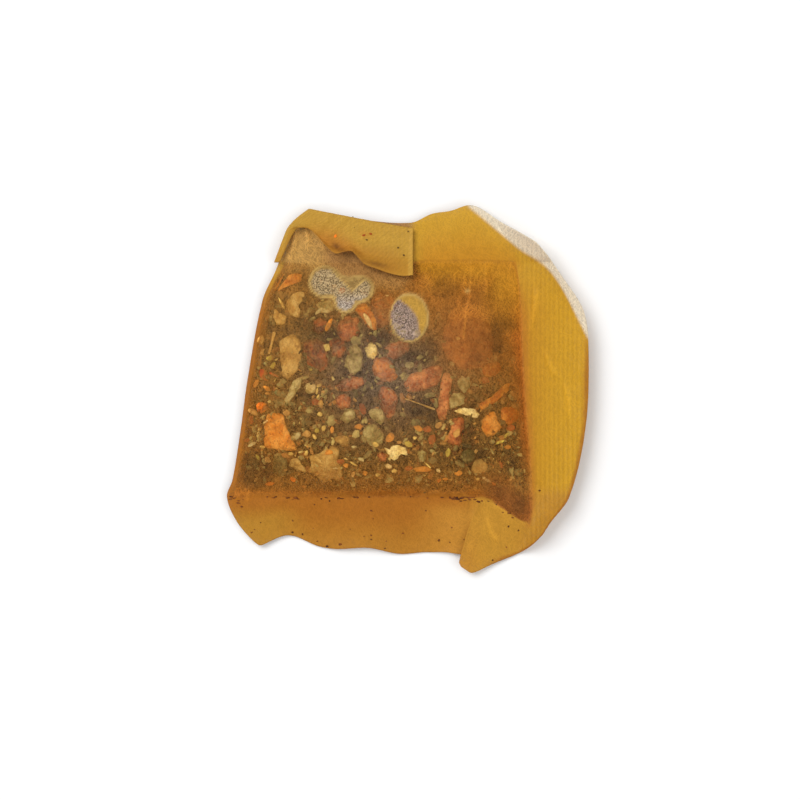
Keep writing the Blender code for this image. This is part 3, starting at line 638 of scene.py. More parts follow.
def makeFibreMat():
    # nonwoven film: short streaks in several directions, a net and broad patches; Vector in millimetres
    tree, put, out = startGroup("ShaderNodeTree", "fibreMat", {"Vector": "Vector"},
                                {"Streaks": "Float", "Net": "Float", "Patches": "Float"})
    place = put.outputs[0]
    wander = addNode(tree, "ShaderNodeTexNoise", {"Vector": place, "Scale": 0.20, "Detail": 1.0})
    bent = addNode(tree, "ShaderNodeVectorMath", {0: wander.outputs[1], 1: (1.2, 1.2, 1.2), 2: place},
                   operation="MULTIPLY_ADD").outputs[0]
    streaks = 0.0
    for turn, along, across in ((60, 0.80, 5.6), (96, 0.85, 6.0), (128, 0.95, 5.8), (22, 0.95, 6.2)):
        layer = noiseAt(tree, stretched(tree, bent, turn, (along, across, 1.0)), 1.0, 1.5, 0.55)
        streaks = mathNode(tree, "MAXIMUM", streaks, stepBetween(tree, layer, 0.50, 0.68))
    net = stepBetween(tree, noiseAt(tree, bent, 3.8, 1.5, 0.55, 0.5), 0.62, 0.38)
    patches = noiseAt(tree, place, 0.45, 3.0, 0.6)
    for value, socket in zip((streaks, net, patches), out.inputs):
        tree.links.new(value, socket)
    return tree


def makeHerbGrain():
    # mottled dry herb: broad tone, fine grain and small pits; Vector in metres
    tree, put, out = startGroup("ShaderNodeTree", "herbGrain",
                                {"Vector": "Vector", "Broad": "Float", "Fine": "Float"},
                                {"Tone": "Float", "Grain": "Float", "Pits": "Float"})
    place, broad, fine = put.outputs[:3]
    tone = stepBetween(tree, noiseAt(tree, place, broad, 3.0, 0.5, 0.6), 0.34, 0.66)
    pits = addNode(tree, "ShaderNodeTexVoronoi", {"Vector": place, "Scale": fine}).outputs["Distance"]
    values = (tone, noiseAt(tree, place, fine), stepBetween(tree, pits, 0.10, 0.42))
    for value, socket in zip(values, out.inputs):
        tree.links.new(value, socket)
    return tree


fibreMat = makeFibreMat()
herbGrain = makeHerbGrain()

# Film material

filmTones = {  # the wet film as it looks, place by place: red, green and blue of 255
    "clear": (184, 128, 56), "cool": (170, 138, 104), "brown": (186, 116, 42), "amber": (192, 132, 36),
    "seam": (181, 111, 38), "edge": (180, 110, 40), "bottom": (168, 104, 32), "bottomEdge": (178, 120, 40),
    "bottomLeft": (178, 126, 42), "bottomRight": (190, 131, 48), "side": (200, 150, 38), "sideTop": (200, 152, 46),
    "corner": (191, 138, 47), "rim": (158, 96, 32), "flap": (192, 148, 58), "flapLow": (188, 134, 46),
    "veil": (188, 144, 76), "veilDark": (164, 118, 66), "dry": (232, 222, 200), "gold": (206, 160, 70),
    "goldMat": (186, 150, 88), "bright": (222, 184, 108), "darkSeam": (104, 56, 22), "disc": (168, 105, 49),
    "ember": (189, 110, 40), "crest": (200, 128, 50), "rust": (146, 86, 40), "stain": (104, 62, 28),
    "goldAir": (192, 164, 118), "paleAir": (194, 176, 156), "coolAir": (176, 150, 132),
}
filmColours = {name: np.array(linear(*tone)[:3]) for name, tone in filmTones.items()}

filmLook = {
    "specular": 0.07, "thickness": 0.10, "rough": (0.36, 0.55), "bump": 0.35, "bumpDistance": 0.00006,
    "mottle": (0.90, 1.10), "paleFibre": (1.26, 1.24, 1.20, 1.0), "darkGap": (0.74, 0.70, 0.66, 1.0),
    "netGap": (0.62, 0.61, 0.60, 1.0), "netFibre": (1.40, 1.42, 1.46, 1.0), "netCover": (0.46, 0.80),
    "ribScale": 0.35, "ribShade": 0.10, "coverSwing": 0.34, "leastCover": 0.03, "mostCover": 0.996,
}


def makeFilmMaterial():
    look = filmLook
    material, tree, shader = startMaterial("wetNonwovenFilm")
    place, tone = readPoint(tree, "flatPlace", "Vector"), readPoint(tree, "filmTone", "Color")
    cover, weave, dry, ribs = [readPoint(tree, name) for name in ("cover", "fibreStrength", "dry", "ribs")]
    streaks, net, patches = useGroup(tree, fibreMat, {"Vector": place})
    ribWave = addNode(tree, "ShaderNodeTexWave", {"Vector": place, "Scale": look["ribScale"], "Distortion": 0.4,
                                                  "Detail": 1.0, "Detail Scale": 0.3},
                      bands_direction="X").outputs["Fac"]

    # colour: the place's tone, mottled, with pale fibres and darker gaps, or a dry net of them
    mottled = tinted(tree, tone, mixFloat(tree, patches, *look["mottle"]))
    gap, fibre = [tinted(tree, mottled, look[name]) for name in ("darkGap", "paleFibre")]
    fibres = mixColour(tree, streaks, gap, fibre)
    dryNet = tinted(tree, tone, mixColour(tree, net, look["netGap"], look["netFibre"]))
    colour = mixColour(tree, mathNode(tree, "MINIMUM", dry, 1.0), mixColour(tree, weave, mottled, fibres), dryNet)
    ribShade = times(tree, times(tree, minus(tree, ribWave, 0.5), ribs), look["ribShade"])
    colour = tinted(tree, colour, plus(tree, 1.0, ribShade))

    # opacity: more where fibres are, less between them; each wall of the film takes half
    swing = times(tree, minus(tree, streaks, 0.42), weave)
    body = plus(tree, cover, times(tree, swing, look["coverSwing"]))
    body = mixFloat(tree, dry, body, mixFloat(tree, net, *look["netCover"]))
    body = mathNode(tree, "MINIMUM", mathNode(tree, "MAXIMUM", body, look["leastCover"]), look["mostCover"])
    seenThrough = mathNode(tree, "SQRT", minus(tree, 1.0, body))
    tree.links.new(minus(tree, 1.0, seenThrough), shader.inputs["Alpha"])

    height = plus(tree, times(tree, streaks, 0.5), times(tree, ribWave, ribs))
    finishSurface(tree, shader, colour, mixFloat(tree, streaks, *look["rough"]), look["specular"],
                  height, look["bump"], look["bumpDistance"])
    return material


filmMaterial = makeFilmMaterial()

# Film shape

filmRelief = {"ribPitch": 0.9, "ribRise": 0.05, "blisterRise": 0.95, "blisterWall": 1.2, "sealBlend": 0.8,
              "marginSway": 0.45, "drapeRise": 0.30, "drapeSink": 0.16, "wrinkleRise": 0.12}
filmGrid = {"pouchColumns": 138, "sideColumns": 44, "foldColumns": 3, "pouchRows": 112, "bottomRows": 30,
            "topRows": 26, "lowerColumns": 71, "lowerRows": 57, "flapColumns": 96, "flapRows": 29, "turnColumns": 9}


def layTones(parts):
    # colour and cover as weighted layers, each laid over the ones before it
    name, layerCover, weight = parts[0]
    colour = np.ones(weight.shape + (3,)) * filmColours[name]
    cover = np.ones(weight.shape) * layerCover
    for name, layerCover, weight in parts[1:]:
        colour = between(colour, filmColours[name], weight[..., None])
        cover = between(cover, layerCover, weight)
    return colour, cover


shadePools = (  # painted shade where the herbs are pressed to the film: frame place, half width, half height, depth
    (-30.5, -16.2, 4.4, 3.6, 0.8), (-24.6, -15.4, 2.6, 2.0, 0.6), (3.6, -4.6, 3.2, 3.0, 0.7),
    (12.6, -13.2, 2.8, 2.6, 0.8), (17.6, 10.4, 1.4, 3.6, 0.5), (7.4, 20.4, 2.8, 2.2, 0.38),
    (19.0, 12.8, 1.6, 1.6, 0.36), (4.4, 7.8, 2.2, 2.0, 0.4), (15.0, 19.6, 3.4, 1.4, 0.1),
    (-14.4, 10.6, 2.4, 1.6, 0.6), (-5.6, 10.6, 2.0, 1.4, 0.65), (-18.6, 7.0, 2.6, 3.0, 0.4),
    (-21.6, 17.6, 1.6, 1.2, 0.3), (2.2, 6.2, 3.4, 1.4, 0.6), (-20.4, -1.6, 2.0, 1.4, 0.4),
    (11.8, -8.4, 1.8, 1.8, 0.6), (20.6, -14.6, 1.8, 2.4, 0.5), (22.4, -23.4, 1.2, 1.6, 0.4),
    (14.8, 7.6, 3.0, 2.6, 0.24), (-19.4, 13.0, 3.4, 1.8, 0.45), (-17.6, 12.6, 2.2, 1.2, 0.5),
    (0.8, -8.6, 1.8, 1.4, 0.4), (6.6, -12.4, 2.2, 1.4, 0.5), (-10.6, -8.6, 1.6, 1.2, 0.3),
    (-32.6, -8.6, 1.2, 2.6, 0.4), (-27.6, 12.6, 1.0, 1.6, 0.4),
)


def filmRegions(x, y, across, up):
    # what the wet film looks like at a place; x and y in the frame
    drift = layeredNoise(x, y, 9.0, 5)
    small = layeredNoise(x, y, 2.6, 8)
    low = up + 0.018 * small + 0.022 * drift
    side = across + 0.003 * small
    inPouch = fade(side, 0.003, 0.015) * fade(side, 1.006, 0.992)
    inPouch = inPouch * fade(low, -0.008, 0.01) * fade(up, 1.05, 0.95)
    haze = 1.0 / (1.0 + np.exp(-(0.62 * x + 0.78 * y - 12.6 + 2.6 * drift) / 3.4))
    topHaze = smoothStep((y - 17.4 - 0.10 * (12.0 - x) + 2.2 * drift) / 7.0) * fade(x, 0.5, 5.5)
    topHaze = np.maximum(topHaze, fade(across, 0.8, 0.94) * fade(y, 8.0, 22.0))
    topHaze = np.maximum(topHaze, fade(up, 0.93, 0.98) * fade(x, 1.0, 3.0))
    rightEdgeHaze = smoothStep((across - 0.945 + 0.02 * small) / 0.05) * fade(up, 0.1, 0.35)
    tip = fade(x, 13.5, 18.5) * smoothStep((0.17 - up + 0.04 * small) / 0.12)
    leftEdgeHaze = smoothStep((0.024 - across + 0.008 * small) / 0.02)
    leftLow = fade(x, -20.0, -29.0) * fade(y, 6.0, -6.0)
    band = smoothStep((0.20 - up + 0.05 * drift) / 0.15)
    seamBand = smoothStep((0.060 - up + 0.03 * drift + 0.012 * small) / 0.05)
    middleCool = np.exp(-((x + 5.0) / 13.0) ** 2 - ((y - 3.0) / 11.0) ** 2)
    disc = np.exp(-((x - 12.0) / 6.4) ** 4 - ((y - 9.4) / 7.4) ** 4)
    crest = np.exp(-((x - 12.7) / 4.2) ** 4 - ((y - 15.5 + 0.07 * (x - 12.7) ** 2) / 1.5) ** 4)
    threadX = np.interp(y, (9.8, 14.2, 18.2, 24.6), (11.1, 11.6, 12.4, 12.8))  # a fine straight crease in the haze
    thread = np.exp(-((x - threadX) / 0.26) ** 2) * fade(y, 9.2, 10.7) * fade(y, 24.4, 20.4)
    paleBit = np.exp(-((x - 12.0) / 0.5) ** 2 - ((y - 19.6) / 0.4) ** 2)
    strand = layeredNoise(3.4 * x, 0.45 * y, 2.4, 77)
    strip = np.maximum(fade(across, 0.045, 0.015), fade(across, 0.935, 0.975))
    strip = strip * smoothStep(1.02 - across) * fade(up, -0.02, 0.02)
    dryGlareCorner = dryGlareCornerShare(x, y)
    sideShare = fade(x, 13.0, 33.0)
    outer = np.clip(np.maximum(np.maximum(across - 1.0, -up), up - 1.0), 0.0, 1.0)
    skirt = fade(x, 9.5, 16.5) * fade(y, -19.0, -22.0)
    bottomRight = fade(x, -1.0, 10.0) * fade(up, -0.02, -0.32)
    veilStart = 0.86 + 0.06 * fade(x, -16.0, -21.0)
    veil = fade(x, 2.0, -1.0) * smoothStep((up - veilStart + 0.03 * small + 0.02 * drift) / 0.10)
    shaded = fade(x, -18.5, -14.5)
    aboveTop = fade(x, 1.0, 4.0) * fade(up, 0.94, 1.0) * fade(up, 2.0, 0.9)
    aboveTop = aboveTop * fade(across, 1.3, 0.85)
    beside = fade(across, 1.16, 1.0) * fade(across, 0.98, 1.0)
    beside = beside * fade(up, -0.3, 0.0) * fade(up, 1.0, 0.75)
    # rim: painted shade along the outer edge of the curled right margin
    rim = smoothStep((outer - 0.90 + 0.03 * small) / 0.08)
    rim = rim * fade(x, 14.0, 20.0) * fade(y, 14.0, 4.0)
    colour, cover = layTones((
        ("bottom", 0.985, 1.0 - inPouch),
        ("bottomEdge", 0.985, fade(up, -0.25, -0.95)),
        ("bottomLeft", 0.985, fade(x, -19.0, -28.0) * fade(up, -0.1, -0.6)),
        ("bottomRight", 0.985, bottomRight),
        ("side", 0.985, sideShare),
        ("sideTop", 0.98, fade(y, 14.0, 28.0) * (1.0 - inPouch)),
        ("amber", 0.985, 0.95 * aboveTop),
        ("corner", 0.98, skirt),
        ("edge", 0.98, 0.55 * beside),
        # painted shade at the right margin's outer edge
        ("rim", 0.99, 0.75 * rim),
        ("clear", 0.25, inPouch),
        ("clear", 0.38, inPouch * fade(y, -4.0, 6.0)),
        ("cool", 0.40, inPouch * middleCool),
        ("brown", 0.46, 0.5 * inPouch * leftLow),
        ("brown", 0.66, inPouch * haze),
        ("disc", 0.76, 0.7 * inPouch * disc),
        ("crest", 0.84, 0.8 * inPouch * crest),
        ("brown", 0.58, 0.6 * inPouch * band),
        ("ember", 0.84, 0.85 * inPouch * rightEdgeHaze),
        ("brown", 0.66, 0.7 * inPouch * leftEdgeHaze),
        ("crest", 0.90, 0.75 * inPouch * thread),
        ("bright", 0.96, 0.8 * inPouch * paleBit),
        ("seam", 0.93, inPouch * seamBand * (1.0 - 0.8 * tip)),
        ("rust", 0.72, 0.8 * inPouch * tip),
        ("amber", 0.965, inPouch * topHaze),
        ("veil", 0.95, veil),
        ("veilDark", 0.95, 0.85 * veil * shaded),
        # the dry corner's pale film, partly a painted white reflection
        ("dry", 0.85, 0.85 * dryGlareCorner),
    ))
    # the film clings to the large pieces and is clearer there, and painted shade darkens the gaps between them
    pressed = pieceCover(x, y, "straw_stem")
    clingZone = inPouch * (1.0 - haze) * fade(up, 0.1, 0.25) * (1.0 - veil)
    cover = cover * (1.0 - 0.26 * pressed * clingZone)
    middle = np.exp(-((x + 6.0) / 17.0) ** 4 - ((y - 5.0) / 11.0) ** 4)
    # gap: painted shade between the pieces, strongest in the middle of the pouch
    gap = (1.0 - pressed) * clingZone * between(0.10, 0.36, middle) * np.clip(0.9 + 0.7 * drift, 0.3, 1.3)
    colour = colour * (1.0 - gap[..., None] * np.array((1.0, 0.92, 0.72)))
    cover = cover + 0.10 * gap * (1.0 - cover)
    topCover = fade(up, 0.93, 0.98) * fade(x, 1.0, 3.0) * fade(up, 1.08, 1.02)
    colour = between(colour, filmColours["amber"], (topCover * fade(across, 1.02, 0.96))[..., None])
    wide = 46.0  # mm across the pouch, near enough for the distance to a side seal
    nearSeal = np.minimum(np.minimum(np.abs(low) * pouch["height"], np.abs(side - 1.0) * wide),
                          np.minimum(np.abs(up - 1.0) * pouch["height"] + 2.0 * fade(x, 2.0, 0.0),
                                     np.abs(across) * wide + 0.3))
    sealed = fade(nearSeal, 1.0, 0.4)
    colour = colour * (1.0 + 0.20 * strip * strand)[..., None]
    colour = colour * (1.0 + inPouch * (0.14 * np.maximum(haze, 0.5) * small + 0.14 * haze * drift))[..., None]
    colour = colour * (1.0 + 0.40 * inPouch * tip * layeredNoise(x, y, 1.3, 78))[..., None]
    cover = np.maximum(cover, 0.98 * np.maximum(sealed, topCover))
    seam = np.exp(-(up * pouch["height"] / 0.5) ** 2) * fade(across, -0.02, 0.01)
    seam = seam * fade(across, 1.0, 0.98) * np.clip(0.35 + 0.5 * drift + 0.5 * small, 0.0, 1.0)
    colour = between(colour, filmColours["darkSeam"], (0.8 * np.clip(seam, 0.0, 1.0))[..., None])
    # painted highlight along the raised creases of the film, stronger where they rise higher
    crease = np.clip(creaseRise(x, y) / 0.5, 0.0, 1.0)
    colour = between(colour, colour * 1.5, (0.8 * crease)[..., None])
    # painted shade of the pressed herbs: the film is darkened and made a little more opaque in each pool
    poolShade = np.zeros_like(x)
    for cx, cy, halfWidth, halfHeight, depth in shadePools:
        away = np.hypot((x - cx + 0.8 * small) / halfWidth, (y - cy + 0.6 * drift) / halfHeight)
        poolShade = np.maximum(poolShade, depth * fade(away, 1.35, 0.65))
    colour = colour * (1.0 - (inPouch * poolShade)[..., None] * np.array((0.66, 0.62, 0.48)))
    cover = cover + 0.10 * inPouch * poolShade * (1.0 - cover)
    weave = between(0.12, 0.78, inPouch)
    weave = between(weave, 0.14, inPouch * np.maximum(topHaze, 0.7 * seamBand))
    weave = between(weave, 0.5, veil)
    calmer = np.maximum(0.6 * haze, np.maximum(rightEdgeHaze, tip))
    weave = between(weave, 0.5, inPouch * calmer * (1.0 - veil))
    weave = np.where(dryGlareCorner > 0.3, 0.35, weave)

    return layBlisters(x, y, small, colour, cover, weave)


def layBlisters(x, y, small, colour, cover, weave):
    # blisters: golden rim, a wet golden side and a dry grey side; the first four make one, with a V between
    deep = blisterInside(x, y)
    inside = smoothStep(deep / 0.3)
    rimLine = np.exp(-((deep - 0.12) / 0.24) ** 2)
    first = blisterInside(x, y, slice(0, 4)) > blisterInside(x, y, slice(4, 5))
    overV = y - 19.3 - np.abs(x + 10.9)
    wetFirst = fade(overV, -0.15, 0.35) * fade(x, -15.4, -14.6)
    lineV = np.exp(-((overV - 0.1) / 0.30) ** 2) * fade(x, -15.4, -14.6)
    dryLine = smoothValue(((-5.0, 1.6), (-1.9, 1.0), (1.3, -0.3), (3.2, -2.5), (4.8, -5.0)), y - 14.2)
    wetSecond = smoothStep((x + 0.1 - dryLine + 0.5 * small) / 2.0)
    ring = fade(deep, 0.72, 0.47)
    innerLine = 0.6 * np.exp(-((deep - 0.58) / 0.14) ** 2)
    wet = np.where(first, np.maximum(wetFirst, ring), wetSecond) * inside
    line = np.clip(np.maximum(rimLine, np.where(first, np.maximum(lineV, innerLine) * inside, 0.0)), 0.0, 1.0)
    colour = between(colour, np.where(first[..., None], filmColours["goldMat"], filmColours["gold"]), wet[..., None])
    cover = between(cover, np.where(first, 0.62, 0.84), wet)
    weave = between(weave, np.where(first, 0.4, 0.35), wet)
    colour = between(colour, filmColours["bright"], line[..., None])
    cover = between(cover, 0.90, line)
    weave = between(weave, 0.1, line)
    dry = inside * (1.0 - wet) * (1.0 - line)
    air = between(filmColours["goldAir"], filmColours["paleAir"], fade(y, 19.6, 16.6)[..., None])
    air = np.where(first[..., None], air, filmColours["coolAir"])
    colour = between(colour, air, smoothStep(dry / 0.3)[..., None])
    return colour, cover, weave, dry


def dryGlareCornerShare(x, y):
    # past the line from the top to the right, the film stands dry; its pale colour there is partly the dry film and
    # partly a painted reflection of white
    line = smoothValue(((11.6, 37.0), (16.6, 32.8), (22.6, 27.8), (27.6, 24.4), (31.0, 19.8), (36.0, 10.0)), x)
    return smoothStep((y - line + 0.3) / 1.0) * fade(x, 11.0, 13.0)


def pleatShift(x, y, up):
    # sideways overlap and rise of the pleat in the bottom margin; plan coordinates
    grow = smoothStep(-up / 0.55)
    place = pouch["pleatPlace"] + pouch["pleatSlant"] * (y - bottomLine(x))
    u = (x - place) / pouch["pleatHalf"]
    near = np.abs(u) < 1.0
    overlap = -pouch["pleatHalf"] * pouch["pleatOverlap"] * grow
    shift = np.where(near, overlap * np.sin(np.pi * np.clip(u, -1.0, 1.0)), 0.0)
    rise = pouch["pleatRise"] * grow * fade(u, -0.62, 0.28) * (1.0 - fade(u, 0.45, 1.35))
    return shift, rise


def draped(x, y, across, up):
    # fine relief of the wet film: it settles round the pieces and wrinkles between them
    frameX, frameY = x + shiftX, y + shiftY
    inside = smoothStep(across / 0.05) * fade(across, 1.0, 0.95)
    inside = inside * smoothStep(up / 0.06) * fade(up, 1.0, 0.94)
    rise = 0.0
    for chunk in chunks:
        rise = np.maximum(rise, 1.0 - smoothStep((chunk.away(frameX, frameY) - 0.65) / 0.6))
    haze = 1.0 / (1.0 + np.exp(-(0.62 * frameX + 0.78 * frameY - 13.5) / 3.6))
    rise = (filmRelief["drapeRise"] * rise - filmRelief["drapeSink"]) * (1.0 - 0.75 * haze)
    ridges = 1.0 - np.abs(layeredNoise(frameX, frameY, 3.4, 21))
    rise = inside * (rise + filmRelief["wrinkleRise"] * (ridges ** 4 - 0.3))
    return rise + 0.05 * layeredNoise(frameX, frameY, 2.2, 33)


def roundCorner(x, y):
    # the folded top left corner is drawn in, as a soft bend leaves it
    rise, inward = np.clip((y - 31.6) / 4.8, 0.0, 1.0), np.maximum(x + 24.0, 0.0)
    return x + 3.4 * rise ** 2 * np.exp(-inward / 5.0), y - 0.5 * rise ** 3 * np.exp(-inward / 4.0)


def upperLeaf():
    columns, rows = [np.concatenate([np.linspace(-1.0, 0.0, filmGrid[before] + 1)[:-1],
                                     np.linspace(0.0, 1.0, filmGrid[within] + 1),
                                     np.linspace(1.0, 2.0, filmGrid[after] + 1)[1:]])
                     for before, within, after in (("foldColumns", "pouchColumns", "sideColumns"),
                                                   ("bottomRows", "pouchRows", "topRows"))]
    pleat = np.linspace(0.73, 0.90, 34)  # closer columns where the pleat turns over
    columns = np.concatenate([columns[columns < 0.729], pleat, columns[columns > 0.901]])
    across, up = np.meshgrid(columns, rows)
    x, y = planPoint(across, up)
    inPouch = (across > 0.0) & (across < 1.0) & (up > 0.0) & (up < 1.0)
    margin = marginHeight(across, up, x) + 0.10
    leaf = leafHeight(x, y) - 0.05
    seal = np.minimum(np.minimum(across * pouch["width"], (1.0 - across) * pouch["width"]),
                      np.minimum(up, 1.0 - up) * pouch["height"])
    z = np.where(inPouch, between(margin, leaf, smoothStep(seal / filmRelief["sealBlend"])), margin)
    frameX, frameY = x + shiftX, y + shiftY
    deep = blisterInside(frameX, frameY)
    share = np.clip(deep / filmRelief["blisterWall"], 0.0, 1.0)
    bubble = filmRelief["blisterRise"] * np.sqrt(share * (2.0 - share))
    z = z + np.where(inPouch, bubble, 0.0)
    z = z + draped(x, y, across, up) * (1.0 - smoothStep(deep / 0.3)) + creaseRise(frameX, frameY)
    outward = np.clip(np.maximum(across - 1.0, np.maximum(-up, up - 1.0)), 0.0, 1.0)
    z = z + filmRelief["marginSway"] * outward * layeredNoise(frameX, frameY, 6.5, 44)
    ribs = filmRelief["ribRise"] * np.sin(2.0 * np.pi * x / filmRelief["ribPitch"])
    z = np.where(across > 1.0, z + ribs * fade(across, 1.0, 1.1), z)
    shift, rise = pleatShift(x, y, up)
    colour, cover, weave, dry = filmRegions(frameX, frameY, across, up)
    # the pleat's overlap is painted a little lighter to offset the shade its shape takes, and painted shade darkens
    # a line along each fold edge
    folded = smoothStep(rise / 0.25) * smoothStep(-up / 0.15)
    place = (x - pouch["pleatPlace"] - pouch["pleatSlant"] * (y - bottomLine(x))) / pouch["pleatHalf"]
    lines = np.exp(-((place + 0.75) / 0.12) ** 2) + np.exp(-((place - 0.55) / 0.16) ** 2)
    colour = between(colour, colour * 1.06, folded[..., None])
    colour = colour * (1.0 - 0.11 * (lines * smoothStep(-up / 0.05))[..., None])
    ribs = fade(across, 1.02, 1.1) * 0.8
    frameX, frameY = roundCorner(frameX, frameY)
    points = np.stack([frameX + shift, frameY, np.maximum(z + rise, 0.06)], -1)
    flat = np.stack([x, y, np.zeros_like(x)], -1)
    return points, flat, colour, cover, weave, dry, ribs


def lowerLeaf():
    across, up = np.meshgrid(*[np.linspace(0.0, 1.0, filmGrid[name]) for name in ("lowerColumns", "lowerRows")])
    x, y = planPoint(across, up)
    frameX, frameY = x + shiftX, y + shiftY
    edge = np.minimum(np.minimum(across, 1.0 - across), np.minimum(up, 1.0 - up))
    z = floorHeight(x, y) + 0.12 + 0.10 * smoothStep(edge / 0.1) * (1.0 + layeredNoise(frameX, frameY, 4.0, 61))
    z = np.where(edge <= 0.0, marginHeight(across, up, x) - 0.02, z)
    mottle = layeredNoise(x, y, 1.6, 65)
    colour, cover = layTones((
        ("clear", 0.26, np.ones_like(x)),
        ("brown", 0.5, 0.35 + 0.35 * layeredNoise(x, y, 11.0, 63)),
        ("brown", 0.98, fade(edge, 0.13, 0.08)),
        ("stain", 0.98, fade(edge, 0.13, 0.08) * smoothStep(0.5 + 0.9 * mottle)),
    ))
    points = np.stack([frameX, frameY, z], -1)
    flat = np.stack([x, -y - 20.0, np.zeros_like(x)], -1)
    zero = np.zeros_like(x)
    return points, flat, colour, cover, zero + 0.8, zero, zero


def groundUnder(x, y):
    highest = np.zeros_like(x)
    for dx in (-1.6, 0.0, 1.6):
        for dy in (-1.6, 0.0, 1.6):
            across, up = shares(x + dx, y + dy)
            inPouch = (across > 0.0) & (across < 1.0) & (up > 0.0) & (up < 1.0)
            above = (y + dy - pouch["height"]) / (topEdge(x) - pouch["height"])
            margin = marginHeight(across, 1.0 + above, x) + 0.5 * pouch["marginWall"] + 0.5
            highest = np.maximum(highest, np.where(inPouch, leafHeight(x + dx, y + dy), margin))
    return highest


flapSmudges = (  # what shows through the flap: frame place, half width, half height, tone, strength
    (-15.4, 29.8, 4.2, 2.4, "brown", 0.6), (-13.0, 28.0, 3.0, 1.6, "brown", 0.45),
    (-14.2, 28.5, 0.9, 0.8, "stain", 0.75), (-12.8, 27.6, 1.0, 0.5, "stain", 0.45),
    (-7.6, 26.0, 2.6, 0.9, "bottomLeft", 0.6), (-6.0, 24.9, 2.2, 0.5, "stain", 0.6),
    (-8.4, 31.0, 1.2, 0.6, "brown", 0.4),
)


def turnedFlap():
    # left end of the top margin, turned back over itself and laid on the pouch
    ups = np.linspace(1.0, 2.0, filmGrid["flapRows"])
    x0, y0 = planPoint(-1.0, ups)
    middle = marginHeight(-1.0, ups, x0) + 0.1
    share = ups - 1.0
    drop = between(flap["lowDrop"], flap["topDrop"], share)
    turn = np.linspace(0.0, np.pi, filmGrid["turnColumns"])
    lengths = np.linspace(0.0, 1.0, filmGrid["flapColumns"])[1:]
    # lower edge as it lies: a notch near the fold, then down to the cut end; frame x, rise over the CAD's line
    lift = ((-27.0, 6.0), (-21.0, 7.6), (-19.2, 7.2), (-17.2, 5.4), (-16.0, 4.2), (-14.4, 3.1), (-12.6, 3.6),
            (-11.1, 3.9), (-9.5, 2.5), (-8.5, 1.6), (-6.0, 0.9), (-3.4, 0.3), (-0.9, 0.1), (1.1, 0.5), (1.6, 0.6))
    points, flat = [], []
    for angle in turn:
        radius = flap["radius"]
        points.append(np.stack([x0 - radius * np.sin(angle) + shiftX, y0 + shiftY,
                                middle + radius * (1.0 - np.cos(angle))], -1))
        flat.append(np.stack([x0 - radius * angle, y0, 0.0 * y0], -1))
    for length in lengths:
        x = between(x0, flap["reach"], length)
        y = y0 - drop * length
        z = np.maximum(middle + 2.0 * flap["radius"], groundUnder(x, y) + flap["clearance"] + 0.25)
        frameX, frameY = x + shiftX, y + shiftY
        frameY = frameY + smoothValue(lift, frameX) * (1.0 - share) ** 1.6 * smoothStep(length / 0.10)
        fold = 0.30 * np.exp(-((frameX + 19.0 - 0.7 * (frameY - 30.0)) / 0.8) ** 2)
        fold = fold + 0.25 * np.exp(-((frameX + 16.5 - 0.9 * (frameY - 30.0)) / 0.7) ** 2)
        z = z + fold + 0.18 * layeredNoise(frameX, frameY, 4.2, 71) * smoothStep(length / 0.1)
        z = z + 0.8 * filmRelief["ribRise"] * np.sin(2.0 * np.pi * x / filmRelief["ribPitch"])
        points.append(np.stack([frameX, frameY, z], -1))
        flat.append(np.stack([x0 - 2.8 - (x - x0), y0, 0.0 * y0], -1))
    points = np.stack(points, 1)
    flat = np.stack(flat, 1)
    points[..., 0], points[..., 1] = roundCorner(points[..., 0], points[..., 1])
    x, y = points[..., 0], points[..., 1]
    pocket = smoothStep((5.0 - np.hypot((x + 6.4) / 1.7, y - 25.4)) / 3.0) * (1.0 - share)[:, None]
    low = fade(share, 0.55, 0.05)[:, None]
    # painted highlight along the flap's cut end
    cutEndHighlight = np.zeros_like(x)
    cutEndHighlight[:, -4:] = 1.0
    layers = [("flap", 0.97, np.ones_like(x)), ("flapLow", 0.95, 0.7 * low), ("brown", 0.80, 0.35 * pocket)]
    for px, py, halfWidth, halfHeight, tone, depth in flapSmudges:
        away = np.hypot((x - px + 0.25 * (y - py)) / halfWidth, (y - py + 0.22 * (x - px)) / halfHeight)
        layers.append((tone, 0.97, depth * np.exp(-away ** 2)))
    colour, cover = layTones(layers + [("gold", 0.97, 0.6 * cutEndHighlight)])
    zero = np.zeros_like(x)
    return points, flat, colour, cover, zero + 0.12, zero, zero + 0.7


def buildFilm():
    points, faces, stores = [], [], []
    for part, flip in ((upperLeaf(), False), (lowerLeaf(), True), (turnedFlap(), True)):
        start = sum(len(p) for p in points)
        rows, columns = part[0].shape[:2]
        points.append(part[0].reshape(-1, 3))
        faces += gridFaces(rows, columns, start, flip)
        stores.append([np.asarray(item).reshape(rows * columns, -1) for item in part[1:]])
    film = meshObject("filterPouch", np.concatenate(points), faces)
    flat, colour, *values = [np.concatenate([s[k] for s in stores]) for k in range(6)]
    storePoints(film, "flatPlace", flat, "FLOAT_VECTOR")
    storePoints(film, "filmTone", np.hstack([colour, np.ones((len(colour), 1))]), "FLOAT_COLOR")
    for name, value in zip(("cover", "fibreStrength", "dry", "ribs"), values):
        storePoints(film, name, value)
    solid = film.modifiers.new("wall", "SOLIDIFY")
    solid.thickness = filmLook["thickness"] * mm
    solid.offset = 0.0
    film.data = plainMesh(film)
    film.data.materials.clear()
    film.data.materials.append(filmMaterial)
    print("film:", len(film.data.polygons), "faces")
    return film


film = buildFilm()
finishPiece(film, "nonwoven_film", "filter_pouch")

# Materials of the blend

